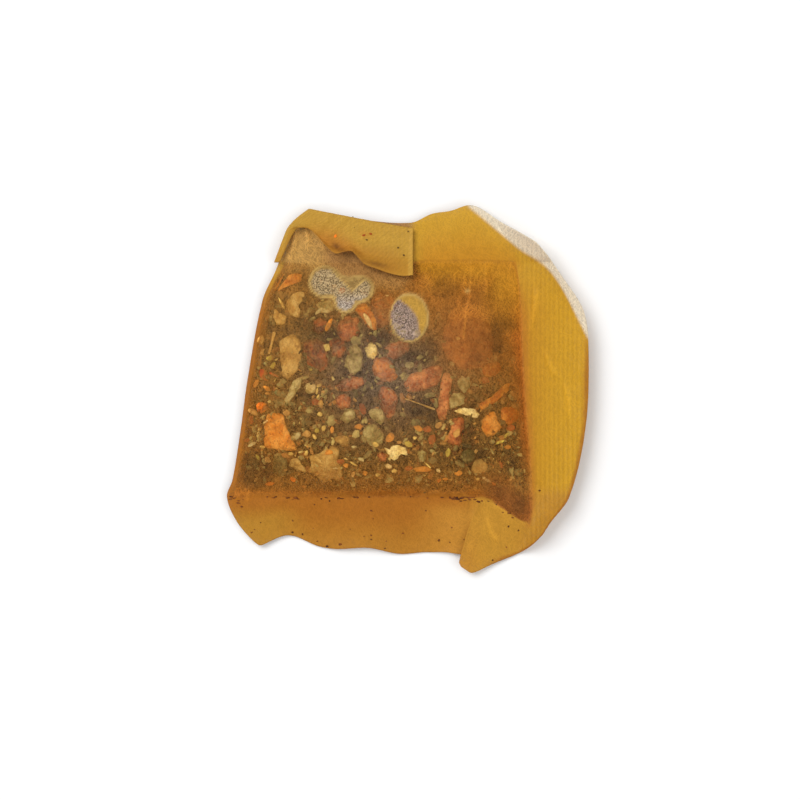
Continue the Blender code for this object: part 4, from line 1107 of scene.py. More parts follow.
herbLooks = {  # dark, middle, pale; broad and fine scale per metre; roughness; bump
    "orange_peel": {"colours": ((182, 96, 26), (212, 136, 48), (228, 166, 82)), "broad": 420, "fine": 1500,
                    "roughness": 0.45, "bump": 0.5},
    "root_slice": {"colours": ((140, 104, 50), (192, 158, 88), (214, 188, 122)), "broad": 380, "fine": 2200,
                   "roughness": 0.62, "bump": 0.5},
    "red_berry": {"colours": ((84, 38, 20), (168, 88, 48), (222, 150, 96)), "broad": 420, "fine": 1700,
                  "roughness": 0.38, "bump": 0.6},
    "date_piece": {"colours": ((96, 44, 20), (168, 92, 42), (220, 142, 70)), "broad": 330, "fine": 1400,
                   "roughness": 0.40, "bump": 0.6},
    "olive_leaf": {"colours": ((92, 84, 40), (156, 146, 92), (196, 186, 134)), "broad": 520, "fine": 2600,
                   "roughness": 0.66, "bump": 0.5},
    "flower_petal": {"colours": ((222, 188, 100), (248, 228, 150), (255, 244, 184)), "broad": 420, "fine": 2000,
                     "roughness": 0.6, "bump": 0.4},
    "round_seed": {"colours": ((168, 144, 84), (206, 186, 122), (226, 212, 158)), "broad": 700, "fine": 2600,
                   "roughness": 0.5, "bump": 0.3},
    "herb_flake": {"colours": ((206, 184, 96), (234, 216, 134), (246, 236, 170)), "broad": 800, "fine": 3000,
                   "roughness": 0.6, "bump": 0.3},
    "straw_stem": {"colours": ((188, 146, 74), (220, 180, 104), (238, 206, 140)), "broad": 600, "fine": 3000,
                   "roughness": 0.55, "bump": 0.4},
}


steep = (1.26, 1.04, 0.70)  # what the brew has done to every dry colour
dullness = 0.16  # specular level of wet herb under the film


def steeped(red, green, blue):
    return tuple(c * k for c, k in zip(linear(red, green, blue), steep)) + (1.0,)


def steepedRamp(tree, value, stops):
    return ramp(tree, value, [(place, steeped(*colour)) for place, colour in stops])


def startHerb(name, broad, fine):
    # its material, tree, shader and place, and the grain's tone, fine grain and pits
    material, tree, shader = startMaterial(name)
    place = addNode(tree, "ShaderNodeTexCoord").outputs["Object"]
    grain = useGroup(tree, herbGrain, {"Vector": place, "Broad": float(broad), "Fine": float(fine)})
    return material, tree, shader, place, grain


def makeHerbMaterial(kind, look):
    material, tree, shader, _, (tone, fine, pits) = startHerb(kind + "Herb", look["broad"], look["fine"])
    shift = times(tree, minus(tree, readPoint(tree, "pieceTone"), 0.5), 0.7)
    mixed = plus(tree, plus(tree, times(tree, tone, 0.55), times(tree, fine, 0.35)), shift)
    colour = steepedRamp(tree, mixed, tuple(zip((0.06, 0.44, 0.86), look["colours"])))
    # painted shade in the small pits, where the bump also sinks the surface
    colour = dimmed(tree, colour, (0.62, 0.56, 0.52, 1.0), pits)
    # painted shade in the wrinkle grooves, read from the rim attribute
    colour = mixColour(tree, readPoint(tree, "rim"), colour, tinted(tree, colour, (0.62, 0.58, 0.52, 1.0)))
    rough = mixFloat(tree, fine, look["roughness"] - 0.1, look["roughness"] + 0.14)
    height = plus(tree, times(tree, pits, 0.6), times(tree, fine, 0.6))
    finishSurface(tree, shader, colour, rough, dullness, height, look["bump"], 0.00015)
    return material


herbMaterials = {kind: makeHerbMaterial(kind, look) for kind, look in herbLooks.items()}

# Pieces of the blend

chunkForms = {  # thickness in mm, how square the section is, outline wobble, wrinkle depth and size
    "orange_peel": {"thick": 3.0, "square": 4.4, "wobble": 0.03, "wrinkle": 0.18, "size": 1.5},
    "root_slice": {"thick": 2.4, "square": 4.2, "wobble": 0.03, "wrinkle": 0.16, "size": 1.2},
    "red_berry": {"thick": 4.2, "square": 2.9, "wobble": 0.02, "wrinkle": 0.26, "size": 1.3},
    "date_piece": {"thick": 4.2, "square": 2.9, "wobble": 0.02, "wrinkle": 0.30, "size": 1.9},
    "olive_leaf": {"thick": 1.6, "square": 3.2, "wobble": 0.12, "wrinkle": 0.26, "size": 1.1},
    "flower_petal": {"thick": 1.4, "square": 3.4, "wobble": 0.08, "wrinkle": 0.20, "size": 1.2},
    "round_seed": {"thick": 1.9, "square": 2.3, "wobble": 0.02, "wrinkle": 0.08, "size": 0.8},
    "herb_flake": {"thick": 1.0, "square": 3.0, "wobble": 0.08, "wrinkle": 0.10, "size": 0.7},
    "straw_stem": {"thick": 0.9, "square": 2.2, "wobble": 0.01, "wrinkle": 0.06, "size": 0.8},
}
fuller = 1.10  # how far the film shows the pieces past their outlines
chunkMesh = {"spokes": (16, 30, 72), "rings": (9, 14, 36)}  # for each mm of size, fewest, most


pieceTones = {  # 0 is the darkest of its kind, 1 the palest, in the order of the numbers; the others are 0.5
    "red_berry": (0.02, 0.10, 0.38, 0.34, 0.42, 0.52, 0.46, 0.72, 0.86, 0.56, 0.14, 0.46),
    "date_piece": (0.22, 0.66, 0.60), "root_slice": (0.50, 0.74, 0.70, 0.56, 0.72),
    "orange_peel": (0.66, 0.66, 0.36, 0.24, 0.26, 0.16, 0.36, 0.10),
    "olive_leaf": (0.70, 0.52, 0.72, 0.5, 0.66, 0.5, 0.5, 0.5, 0.14, 0.12), "flower_petal": (0.5, 0.80, 0.90),
}


def buildChunk(chunk, seed):
    form = chunkForms[chunk.kind]
    size = chunk.radii.max()
    spokes, rings = [int(np.clip(size * each, fewest, most)) for each, fewest, most in chunkMesh.values()]
    polar = np.linspace(0.0, np.pi, rings + 1)[1:-1]
    edge = closedCurve(chunk.ring, spokes)
    steps = np.arange(spokes) / spokes * 2.0 * np.pi
    if edge[0, 0] * edge[spokes // 4, 1] - edge[0, 1] * edge[spokes // 4, 0] < 0.0:
        edge = edge[::-1]
    wave = sum(np.sin(k * steps + seed * k * 1.7) / k ** 0.5 for k in (4, 7, 11, 15))
    edge = edge * fuller * (1.0 - form["wobble"] * (0.5 + 0.5 * wave))[:, None]
    power = 2.0 / form["square"]
    ringShare = np.sin(polar) ** power
    heightShare = 0.5 + 0.5 * np.sign(np.cos(polar)) * np.abs(np.cos(polar)) ** power
    dx, dy = [np.concatenate([[0.0], (ringShare[:, None] * edge[None, :, k]).ravel(), [0.0]]) for k in (0, 1)]
    share = np.concatenate([[1.0], np.repeat(heightShare, spokes), [0.0]])
    x, y = chunk.centre[0] - shiftX + dx, chunk.centre[1] - shiftY + dy
    high = leafInside(x, y) - pouch["clearance"]
    low = np.minimum(np.maximum(bedTop(x, y) + pouch["clearance"], high - form["thick"]), high - 0.35)
    z = between(low, high, share)
    points = np.stack([x + shiftX, y + shiftY, z], 1)
    last, tail = len(points) - 1, 1 + (rings - 2) * spokes
    faces = [(0, 1 + s, 1 + (s + 1) % spokes) for s in range(spokes)] + ringFaces(1, spokes, rings - 1)
    faces += [(last, tail + (s + 1) % spokes, tail + s) for s in range(spokes)]

    # wrinkles cut inwards along the direction to the piece's middle
    middle = np.array([chunk.centre[0], chunk.centre[1], float(np.mean(z))])
    moved, grooveShades = [], []
    for p in points:
        v = Vector(p - middle)
        q = Vector(p / form["size"] + seed * 3.1)
        ridge = 1.0 - abs(noise.noise(q)) * 2.2
        cut = form["wrinkle"] * (max(ridge, 0.0) ** 2 * 0.8 + 0.35 * noise.noise(q * 2.7) + 0.1)
        length = max(v.length, 1e-3)
        moved.append(np.array(p) - np.array(v / length) * min(max(cut, -0.06), 0.5 * length))
        # how deep the wrinkle cuts here, kept as the rim attribute for painted shade in the grooves
        grooveShades.append(np.clip(ridge, 0.0, 1.0) ** 3)
    words = chunk.name.split("_")
    obj = meshObject(words[0] + "".join(w.capitalize() for w in words[1:]), moved, faces)
    tones = pieceTones.get(chunk.kind, ())
    storePoints(obj, "pieceTone", np.full(len(points), (tones + (0.5,) * chunk.number)[chunk.number - 1]))
    storePoints(obj, "rim", grooveShades)
    obj.data.materials.append(herbMaterials[chunk.kind])
    return obj


for order, chunk in enumerate(chunks):
    finishPiece(buildChunk(chunk, order), chunk.kind, chunk.name)
print("pieces of the blend built")

# Bed of fine-cut herbs

bedLook = ((0.18, (34, 24, 14)), (0.42, (66, 50, 28)), (0.60, (104, 86, 48)), (0.82, (150, 110, 58)))


def makeBedMaterial():
    material, tree, shader, _, (tone, fine, pits) = startHerb("fineCutHerbs", 380, 1500)
    colour = steepedRamp(tree, plus(tree, times(tree, tone, 0.5), times(tree, fine, 0.5)), bedLook)
    # painted shade deep in the hollows between the fine-cut bits, where the bump sinks the surface
    colour = dimmed(tree, colour, (0.35, 0.3, 0.28, 1.0), pits)
    finishSurface(tree, shader, colour, mixFloat(tree, fine, 0.5, 0.8), dullness, pits, 0.8, 0.0003)
    return material


def buildBed():
    rows, columns = 104, 128
    inset = pouch["bedInset"]
    across, up = np.meshgrid(np.linspace(inset, 1.0 - inset, columns), np.linspace(inset, 1.0 - inset, rows))
    x, y = planPoint(across, up)
    top, base = bedTop(x, y), bedBase(x, y)
    frameX, frameY = x + shiftX, y + shiftY
    rough = 0.42 * layeredNoise(frameX, frameY, 1.5, 81) + 0.25 * layeredNoise(frameX, frameY, 3.7, 85)
    top = np.maximum(top + rough, base + 0.1)
    base = base + 0.15 * (1.0 + layeredNoise(frameX, frameY, 1.6, 91))
    edge = np.ones_like(x, bool)
    edge[1:-1, 1:-1] = False
    layers = [np.where(edge, 0.5 * (top + base), z) for z in (top, base)]
    points = np.concatenate([np.stack([frameX, frameY, z], -1).reshape(-1, 3) for z in layers])
    faces = gridFaces(rows, columns) + gridFaces(rows, columns, rows * columns, True)
    bed = meshObject("fineCutBed", points, faces)
    bm = bmesh.new()
    bm.from_mesh(bed.data)
    bmesh.ops.remove_doubles(bm, verts=bm.verts, dist=1e-6)
    bm.to_mesh(bed.data)
    bm.free()
    bed.data.materials.append(makeBedMaterial())
    return bed


finishPiece(buildBed(), "fine_cut_herbs", "fine_cut_bed")
print("bed of fine-cut herbs built")

# Crumbs scattered by Geometry Nodes

crumbLooks = {  # stops of tint, and the colours there
    "leafCrumb": ((0.0, (62, 54, 28)), (0.3, (92, 86, 50)), (0.52, (138, 130, 84)), (0.72, (172, 164, 108)),
                  (0.88, (198, 188, 122)), (1.0, (230, 214, 140))),
    "barkCrumb": ((0.0, (56, 34, 18)), (0.3, (104, 64, 30)), (0.6, (158, 102, 50)), (0.85, (196, 140, 70)),
                  (1.0, (224, 176, 98))),
    "fineCrumb": ((0.0, (48, 34, 18)), (0.25, (90, 66, 32)), (0.5, (130, 108, 58)), (0.72, (172, 124, 62)),
                  (0.92, (196, 156, 84)), (1.0, (240, 214, 132))),
}


def makeCrumbMaterial(name):
    material, tree, shader, place, (tone, fine, pits) = startHerb(name, 900, 3200)
    mixed = plus(tree, readPoint(tree, "tint"), times(tree, minus(tree, tone, 0.5), 0.18))
    colour = steepedRamp(tree, mixed, crumbLooks[name])
    broad = stepBetween(tree, noiseAt(tree, place, 210.0, 2.0, 0.55), 0.36, 0.62)
    colour = dimmed(tree, colour, (0.46, 0.44, 0.42, 1.0), broad)
    colour = dimmed(tree, colour, (0.7, 0.66, 0.6, 1.0), pits)
    finishSurface(tree, shader, colour, mixFloat(tree, fine, 0.5, 0.75), dullness, fine, 0.4, 0.0001)
    return material


def protoShape(name, kind, seed):
    # one small crumb, about one unit across, made in metres so that the scale input is in metres too
    draw = np.random.default_rng(seed)
    bm = bmesh.new()
    if kind == "chip":
        for _ in range(9):
            bm.verts.new(draw.uniform(-0.5, 0.5, 3) * (1.0, 0.72, 0.42))
        bmesh.ops.convex_hull(bm, input=bm.verts)
        bmesh.ops.delete(bm, geom=[v for v in bm.verts if not v.link_faces], context="VERTS")
    else:
        # shard of leaf: a bent thin slab with a ragged outline
        count = 7
        angles = np.linspace(0.0, 2.0 * np.pi, count, endpoint=False)
        radii = draw.uniform(0.28, 0.55, count)
        bend = draw.uniform(-0.5, 0.5)
        stretch = draw.uniform(0.45, 0.9)
        loops = []
        for lift in (0.05, -0.05):
            loop = []
            for a, r in zip(angles, radii):
                px, py = r * math.cos(a), stretch * r * math.sin(a)
                loop.append(bm.verts.new((px, py, bend * (px * px - py * py) + lift)))
            loops.append(loop)
        tops = [bm.verts.new((0.0, 0.0, 0.07)), bm.verts.new((0.0, 0.0, -0.07))]
        for k in range(count):
            n = (k + 1) % count
            bm.faces.new((tops[0], loops[0][k], loops[0][n]))
            bm.faces.new((tops[1], loops[1][n], loops[1][k]))
            bm.faces.new((loops[0][k], loops[1][k], loops[1][n], loops[0][n]))
    bmesh.ops.recalc_face_normals(bm, faces=bm.faces)
    mesh = bpy.data.meshes.new(name)
    bm.to_mesh(mesh)
    bm.free()
    mesh.shade_smooth()
    return bpy.data.objects.new(name, mesh)


def protoCollection(name, kinds):
    collection = bpy.data.collections.new(name)
    for number, kind in enumerate(kinds):
        collection.objects.link(protoShape(f"{name}{number}", kind, 40 + number))
    return collection


def makeScatterTree(collection):
    tree, put, out = startGroup("GeometryNodeTree", "scatterCrumbs", {
        "Geometry": "Geometry", "Per square metre": "Float", "Smallest": "Float", "Largest": "Float",
        "Depth": "Float", "Tilt": "Float", "Seed": "Int", "Finish": "Material"}, {"Geometry": "Geometry"})
    given = {socket.name: socket for socket in put.outputs}

    def stored(name):
        node = addNode(tree, "GeometryNodeInputNamedAttribute", {"Name": name}, data_type="FLOAT")
        return node.outputs["Attribute"]

    def random(low, high, offset, kind="FLOAT"):
        node = addNode(tree, "FunctionNodeRandomValue", {"Seed": plus(tree, given["Seed"], float(offset))},
                       data_type=kind)
        for socket, value in zip([s for s in node.inputs if s.enabled], (low, high)):
            join(tree, value, socket)
        return [s for s in node.outputs if s.enabled][0]

    amount = times(tree, stored("density"), given["Per square metre"])
    spread = addNode(tree, "GeometryNodeDistributePointsOnFaces",
                     {"Mesh": given["Geometry"], "Density": amount, "Seed": given["Seed"]})
    deepest = mathNode(tree, "MINIMUM", stored("room"), given["Depth"])
    down = times(tree, times(tree, random(0.0, 1.0, 3), deepest), -1.0)
    offset = addNode(tree, "ShaderNodeCombineXYZ", {2: down}).outputs[0]
    moved = addNode(tree, "GeometryNodeSetPosition", {"Geometry": spread.outputs["Points"], "Offset": offset})
    marked = addNode(tree, "GeometryNodeStoreNamedAttribute",
                     {"Geometry": moved.outputs[0], "Name": "tint", "Value": random(0.0, 1.0, 5)},
                     data_type="FLOAT", domain="POINT")
    tiltLow = times(tree, given["Tilt"], -1.0)
    turn = addNode(tree, "ShaderNodeCombineXYZ", {0: random(tiltLow, given["Tilt"], 7),
                                                  1: random(tiltLow, given["Tilt"], 9),
                                                  2: random(0.0, 6.2832, 11)}).outputs[0]
    mostlySmall = mathNode(tree, "POWER", random(0.0, 1.0, 13), 2.0)
    size = mathNode(tree, "MINIMUM", mixFloat(tree, mostlySmall, given["Smallest"], given["Largest"]), stored("fit"))
    shapes = addNode(tree, "GeometryNodeCollectionInfo", {"Collection": collection, "Separate Children": True,
                                                          "Reset Children": True})
    placed = addNode(tree, "GeometryNodeInstanceOnPoints",
                     {"Points": marked.outputs[0], "Instance": shapes.outputs[0], "Pick Instance": True,
                      "Instance Index": random(0, 1000, 15, "INT"), "Rotation": turn, "Scale": size})
    real = addNode(tree, "GeometryNodeRealizeInstances", {"Geometry": placed.outputs[0]})
    finished = addNode(tree, "GeometryNodeSetMaterial", {"Geometry": real.outputs[0], "Material": given["Finish"]})
    tree.links.new(finished.outputs[0], out.inputs[0])
    return tree


def scatter(name, helper, tree, values):
    modifier = helper.modifiers.new("scatter", "NODES")
    modifier.node_group = tree
    names = {item.name: item.identifier for item in tree.interface.items_tree
             if item.item_type == "SOCKET" and item.in_out == "INPUT"}
    for label, value in values.items():
        modifier[names[label]] = value
    helper.update_tag()
    mesh = plainMesh(helper)
    bpy.data.objects.remove(helper, do_unlink=True)
    obj = bpy.data.objects.new(name, mesh)
    scene.collection.objects.link(obj)
    mesh.materials.clear()
    mesh.materials.append(values["Finish"])
    print(name, len(mesh.polygons), "faces")
    return obj


def helperSurface(name, densityRule, below):
    # a sheet just under the leaf, with the density, the room below and the largest size that fits
    columns, rows = 90, 74
    across, up = np.meshgrid(np.linspace(0.008, 0.992, columns), np.linspace(0.008, 0.985, rows))
    x, y = planPoint(across, up)
    frameX, frameY = x + shiftX, y + shiftY
    inside, low = leafInside(x, y), floorHeight(x, y) + 0.35
    z = np.maximum(inside - np.minimum(below, 0.5 * (inside - low)), low)
    helper = meshObject(name, np.stack([frameX, frameY, z], -1).reshape(-1, 3), gridFaces(rows, columns))
    storePoints(helper, "density", np.clip(densityRule(frameX, frameY, up), 0.0, 1.0))
    storePoints(helper, "room", np.maximum(z - low, 0.0) * mm)
    storePoints(helper, "fit", np.clip(1.3 * (inside - low), 0.35, 3.0) * mm)
    return helper


def fineRule(x, y, up):
    band = fade(up, 0.34, 0.18)
    corner = fade(x, -18.0, -28.0) * fade(y, 10.0, -2.0)
    patch = 0.55 + 0.75 * layeredNoise(x, y, 6.0, 101)
    base = np.maximum(0.16, np.maximum(band, 0.8 * corner)) * np.clip(patch, 0.2, 1.0)
    return base * (1.0 - 0.9 * pieceCover(x, y)) * smoothStep((28.0 - x - 0.8 * y) / 16.0 + 0.15)


def leafRule(x, y, up):
    patch = 0.5 + 0.9 * layeredNoise(x, y, 7.0, 111)
    clear = smoothStep((26.0 - 0.8 * x - y) / 14.0)
    return np.clip(patch, 0.05, 1.0) * (1.0 - 0.92 * pieceCover(x, y)) * clear * fade(up, 0.02, 0.12)


def barkRule(x, y, up):
    patch = 0.5 + 0.9 * layeredNoise(x, y, 8.0, 121)
    return np.clip(patch, 0.1, 1.0) * (1.0 - 0.92 * pieceCover(x, y))


scatters = (
    {"name": "fineCrumbs", "rule": fineRule, "below": 0.42, "shapes": ("chip", "shard", "chip", "shard", "chip"),
     "finish": "fineCrumb", "values": {"Per square metre": 4.2e6, "Smallest": 0.00028, "Largest": 0.0010,
                                       "Depth": 0.0009, "Tilt": 1.4, "Seed": 11}},
    {"name": "leafCrumbs", "rule": leafRule, "below": 0.50, "shapes": ("shard", "shard", "chip", "shard"),
     "finish": "leafCrumb", "values": {"Per square metre": 1.0e6, "Smallest": 0.0007, "Largest": 0.0028,
                                       "Depth": 0.0009, "Tilt": 0.32, "Seed": 23}},
    {"name": "barkCrumbs", "rule": barkRule, "below": 0.60, "shapes": ("chip", "shard", "chip"),
     "finish": "barkCrumb", "values": {"Per square metre": 0.7e6, "Smallest": 0.0007, "Largest": 0.0026,
                                       "Depth": 0.0010, "Tilt": 0.45, "Seed": 37}},
)

for item in scatters:
    protos = protoCollection(item["name"] + "Shape", item["shapes"])
    tree = makeScatterTree(protos)
    helper = helperSurface(item["name"] + "Field", item["rule"], item["below"])
    values = dict(item["values"], Finish=makeCrumbMaterial(item["finish"]))
    finishPiece(scatter(item["name"], helper, tree, values), "fine_cut_herbs")
    for proto in list(protos.objects):
        bpy.data.objects.remove(proto, do_unlink=True)
    bpy.data.collections.remove(protos)
print("crumbs scattered")

# Chips that can be picked out one by one

pickedChips = {  # place in the frame, length, width and turn of each, in mm and degrees
    "sage": (
        (-17.6, 15.5, 1.8, 0.7, 40), (-11.4, -5, 1.6, 1.2, 10), (-21.9, 0.7, 1.4, 0.7, 50),
        (-21.8, -9.3, 1.6, 1, 50), (-10.6, -11.5, 0.9, 0.5, 0), (-31.1, -11.1, 1.6, 0.6, 30),
        (-9.2, -14, 1.2, 0.6, -20), (0.5, 4.7, 1.8, 1.3, 20),
    ),
    "straw": (
        (-25.1, 17.1, 2.4, 0.5, -62), (-17.5, 0.7, 1, 0.6, 20), (-17.9, -0.5, 1.2, 0.4, 80),
        (-17.7, -1.5, 0.8, 0.4, 60), (-17.3, -5, 1, 0.8, -20), (-28.9, -11.6, 1, 0.5, -10),
        (-23.2, -12.9, 0.9, 0.6, 0), (-20.1, -12.8, 1, 0.7, 70), (-16.6, -7.8, 1.1, 0.7, 80),
        (-18.4, -9.5, 1.1, 0.6, -50), (-10.7, -14.9, 1.7, 0.35, -30), (-6.3, -11, 1.2, 0.9, -30),
        (-2.6, -16.3, 1.1, 0.7, 0), (1.5, -9.7, 0.8, 0.6, 0), (14.1, -18, 0.7, 0.6, 0),
        (4, -15.1, 1.6, 0.3, -45), (-5.9, -17.1, 0.9, 0.6, 0), (10.1, 10, 0.8, 0.7, 0),
    ),
    "lime": (
        (-27.6, 6.1, 1.2, 0.9, 20), (-26.8, 4.7, 1.4, 0.8, 60), (-19.1, 3.8, 0.7, 0.5, 0),
        (-29.9, -13.7, 1.2, 0.6, -60), (-17.9, -8.3, 1, 0.8, 0), (0.3, -11, 1.5, 1, -20),
        (8.1, -12.6, 1.7, 0.9, 75), (19.7, -9.4, 1.6, 0.5, 50), (18.5, -10.6, 1.8, 0.5, 20),
    ),
    "tan": (
        (-29.4, 9.8, 1.9, 1.4, 70), (-30.9, -4.6, 2.2, 1, -30), (-16.7, -0.6, 0.7, 0.5, 0),
        (-24, -4.8, 1.4, 1.2, 0), (-29, 7.4, 1.3, 0.8, 60), (-27.9, -14.2, 1.4, 1, -40),
        (-24.3, -16.2, 0.6, 0.5, 0), (-19.9, -8.9, 1.6, 1.2, 10), (-30.3, -18.2, 1, 0.6, 50),
        (-10.8, -17, 1, 0.7, 70), (6.2, -7.2, 1.4, 1, 30), (13.7, -12.4, 0.8, 0.6, 60),
        (5.1, -12.9, 0.8, 0.4, 70), (9.8, -8.7, 1.8, 1.2, 60), (20.8, -18, 1, 0.5, 60),
        (-1.6, -10.6, 0.9, 0.6, 0),
    ),
    "rust": (
        (-26.6, 2.8, 2, 0.5, -25), (-28.6, 2.7, 2.6, 1.5, -50), (-18.2, -2.6, 1.6, 1.2, 0),
        (-8.8, -4, 2.2, 1.2, -70), (-31.2, -6.2, 1.8, 0.9, 80), (-32.1, -10.3, 1.2, 0.8, 0),
        (-13.2, -14.5, 1.4, 1, 0), (4, -8, 1.5, 1.2, 0), (20.8, -7.8, 1.6, 1.3, 0), (4.9, -10.1, 2, 1.3, 70),
        (18.7, -15.1, 1.4, 0.6, -70), (0.3, -15.8, 1.6, 0.9, 10), (15.5, 1.7, 1.6, 1.2, 0),
        (-8.7, 30.8, 0.8, 0.4, 20), (-7.3, 31.1, 0.7, 0.4, -20), (-17.7, 31.7, 0.9, 0.4, -10),
    ),
    "amber": (
        (-30.3, 1.1, 1.6, 0.8, 60), (-28, 0.1, 1.6, 0.8, -40), (-15.6, 12.6, 2.6, 0.9, 65),
        (-14.9, -8.1, 1.2, 0.7, 90), (-9.6, -7.5, 1.5, 1, 10), (-15.5, -12.6, 1.6, 0.9, 5),
        (-12.2, -15.2, 1, 0.8, 0), (-8.4, -16.8, 0.9, 0.8, 0), (-20.7, -19.6, 0.8, 0.6, 0),
        (2.1, -7.8, 1.6, 1, -25), (3, -16, 3.2, 1, 0), (10.2, -16.8, 1.4, 1, 10), (20.1, -11.6, 1.3, 0.8, 0),
        (-3.4, -9.7, 2, 1.3, 60), (7.6, -18, 1, 0.6, 0),
    ),
    "orange": (
        (-29.2, -3.4, 2, 1.3, 20), (-13, 19.7, 1.3, 1.1, 60), (-22.8, -18, 1.2, 0.9, -30),
        (-27.6, -19, 1.7, 0.7, 5), (17.4, -19, 0.9, 0.6, -20), (6.4, -18.3, 0.9, 0.6, 30),
        (-14.4, 30.6, 0.9, 0.6, 70),
    ),
    "pale": (
        (-7.7, 13.4, 3.4, 0.9, -58), (-28.2, -6.5, 1.2, 0.35, 35), (-3.7, -15.4, 1.3, 0.8, -15),
        (6.2, -16.3, 0.9, 0.6, -40), (16.1, -18.3, 1.5, 0.5, -30), (15.4, -17.8, 0.7, 0.5, 0),
        (-4, 18.6, 0.6, 0.3, 0),
    ),
    "dark": (
        (-0.7, 26.8, 0.5, 0.35, -40), (-0.4, 25.4, 0.45, 0.4, 0), (-1.8, 28.3, 0.4, 0.35, 0),
        (-8.1, 29.9, 0.5, 0.3, -30), (-10.6, 32.3, 0.35, 0.3, 0), (-10.9, 34.5, 0.4, 0.25, 90),
        (0.2, 31.6, 0.35, 0.3, 0),
    ),
}

chipTones = {"sage": (202, 194, 142), "lime": (206, 194, 92), "straw": (240, 214, 126), "tan": (216, 172, 100),
             "rust": (170, 88, 40), "amber": (224, 152, 62), "orange": (236, 130, 34), "pale": (242, 222, 160),
             "dark": (86, 68, 38)}


def makeChipMaterial():
    material, tree, shader, _, (tone, fine, _) = startHerb("pickedChipHerb", 900, 3400)
    colour = dimmed(tree, readPoint(tree, "chipTone", "Color"), (0.62, 0.56, 0.50, 1.0), tone)
    finishSurface(tree, shader, colour, mixFloat(tree, fine, 0.45, 0.7), dullness, fine, 0.4, 0.0001)
    return material


def topOfSheet(frameX, frameY):
    # height just under the leaf in the pouch, or on the film of a margin or the flap, and which of them: -1 or 1
    x, y = frameX - shiftX, frameY - shiftY
    across, up = shares(x, y)
    if 0.0 < across < 1.0 and 0.0 < up < 1.0:
        return float(leafInside(x, y)) - 0.12, -1.0
    across = 1.0 + (x - rightLine(y)) / (rightEdge(y) - rightLine(y)) if across > 1.0 else across
    up = -(bottomLine(x) - y) / (bottomLine(x) - bottomEdge(x)) if up < 0.0 else up
    up = 1.0 + (y - pouch["height"]) / (topEdge(x) - pouch["height"]) if up > 1.0 else up
    height = float(marginHeight(across, up, x)) + 0.16
    if frameX < 1.0 and frameY > 22.6:  # under the turned flap
        height = max(height, float(groundUnder(np.array([x]), np.array([y]))[0]) + 0.9)
    return height, 1.0


def buildChips():
    points, faces, tones = [], [], []
    draw = np.random.default_rng(77)
    count = 10
    for tone, rows in pickedChips.items():
        for x, y, length, width, turn in rows:
            top, side = topOfSheet(x, y)
            if side < 0.0:
                length, width = 1.2 * length, 1.2 * width
            thick = min(0.5, 0.45 * width)
            middle = top + 0.5 * thick * side
            angles = np.linspace(0.0, 2.0 * np.pi, count, endpoint=False) + draw.uniform(0.0, 0.6)
            radii = draw.uniform(0.78, 1.08, count)
            start = len(points)
            tilt = draw.uniform(-0.15, 0.15, 2)
            for share, lift in ((0.7, 0.5), (1.0, 0.12), (1.0, -0.12), (0.7, -0.5)):
                for a, r in zip(angles, radii):
                    u, v = 0.5 * length * r * share * math.cos(a), 0.5 * width * r * share * math.sin(a)
                    du, dv = turned(u, v, turn)
                    points.append((x + du, y + dv, middle + thick * lift + tilt[0] * u + tilt[1] * v))
            points += [(x, y, middle + 0.56 * thick), (x, y, middle - 0.56 * thick)]
            crown = start + 4 * count
            faces += ringFaces(start, count, 4)
            for k in range(count):
                n = (k + 1) % count
                faces += [(crown, start + k, start + n), (crown + 1, start + 3 * count + n, start + 3 * count + k)]
            tones += [steeped(*chipTones[tone])] * (4 * count + 2)
    chips = meshObject("pickedChips", points, faces)
    storePoints(chips, "chipTone", tones, "FLOAT_COLOR")
    chips.data.materials.append(makeChipMaterial())
    return chips


finishPiece(buildChips(), "fine_cut_herbs")
print("picked chips built")

# Specks on the margins and crumbs caught in the seams

specks = (  # place in the frame, length, width and turn, in mm and degrees
    (-23.04, -26.4, 0.7, 0.28, -45), (-23.04, -28.8, 0.5, 0.4, 0), (-21.04, -29.2, 0.5, 0.35, -60),
    (-18.04, -30.6, 0.45, 0.3, 20), (-31.24, -28.8, 0.5, 0.25, 30), (-30.64, -28.2, 0.3, 0.2, 0),
    (-33.24, -23.6, 0.5, 0.4, 0), (-7.24, -24.4, 0.7, 0.35, -25), (-6.84, -26.0, 0.3, 0.25, 0),
    (-7.24, -29.4, 0.5, 0.4, 0), (-7.24, -30.2, 0.45, 0.35, 0), (-8.64, -29.6, 0.35, 0.25, 0),
    (-4.24, -30.6, 0.35, 0.3, 0), (-0.84, -29.0, 0.5, 0.25, 10), (3.76, -24.4, 0.4, 0.3, 0),
    (6.36, -30.4, 0.6, 0.45, 60), (8.56, -30.8, 0.35, 0.3, 0), (8.96, -27.8, 0.35, 0.3, 0),
    (19.96, -31.8, 0.4, 0.3, 0), (-18.84, -28.0, 0.4, 0.25, 0), (-16.04, -31.6, 0.7, 0.4, 0),
    (-13.44, -31.2, 0.8, 0.5, 10), (-18.64, -23.2, 0.4, 0.3, 30), (-29.44, -26.8, 0.3, 0.25, 0),
    (20.36, -27.6, 0.6, 0.35, 55), (22.36, -28.4, 0.4, 0.3, 50), (26.56, -20.4, 0.5, 0.35, 0),
    (17.16, -34.4, 0.4, 0.3, 0), (-4.44, -32.0, 0.4, 0.3, 0), (-11.44, -28.2, 0.3, 0.2, 0),
    (11.36, -30.2, 0.3, 0.25, 60),
)

seamRuns = (  # crumbs along the bottom seal: from and to in the frame, spread, how many
    (-29.5, -24.0, 0.36, 16), (-24.5, -20.0, 0.40, 26), (-18.0, 8.0, 0.5, 34), (8.5, 13.2, 0.42, 60),
    (13.0, 22.5, 0.6, 30), (-35.6, -32.4, 0.5, 14),
)


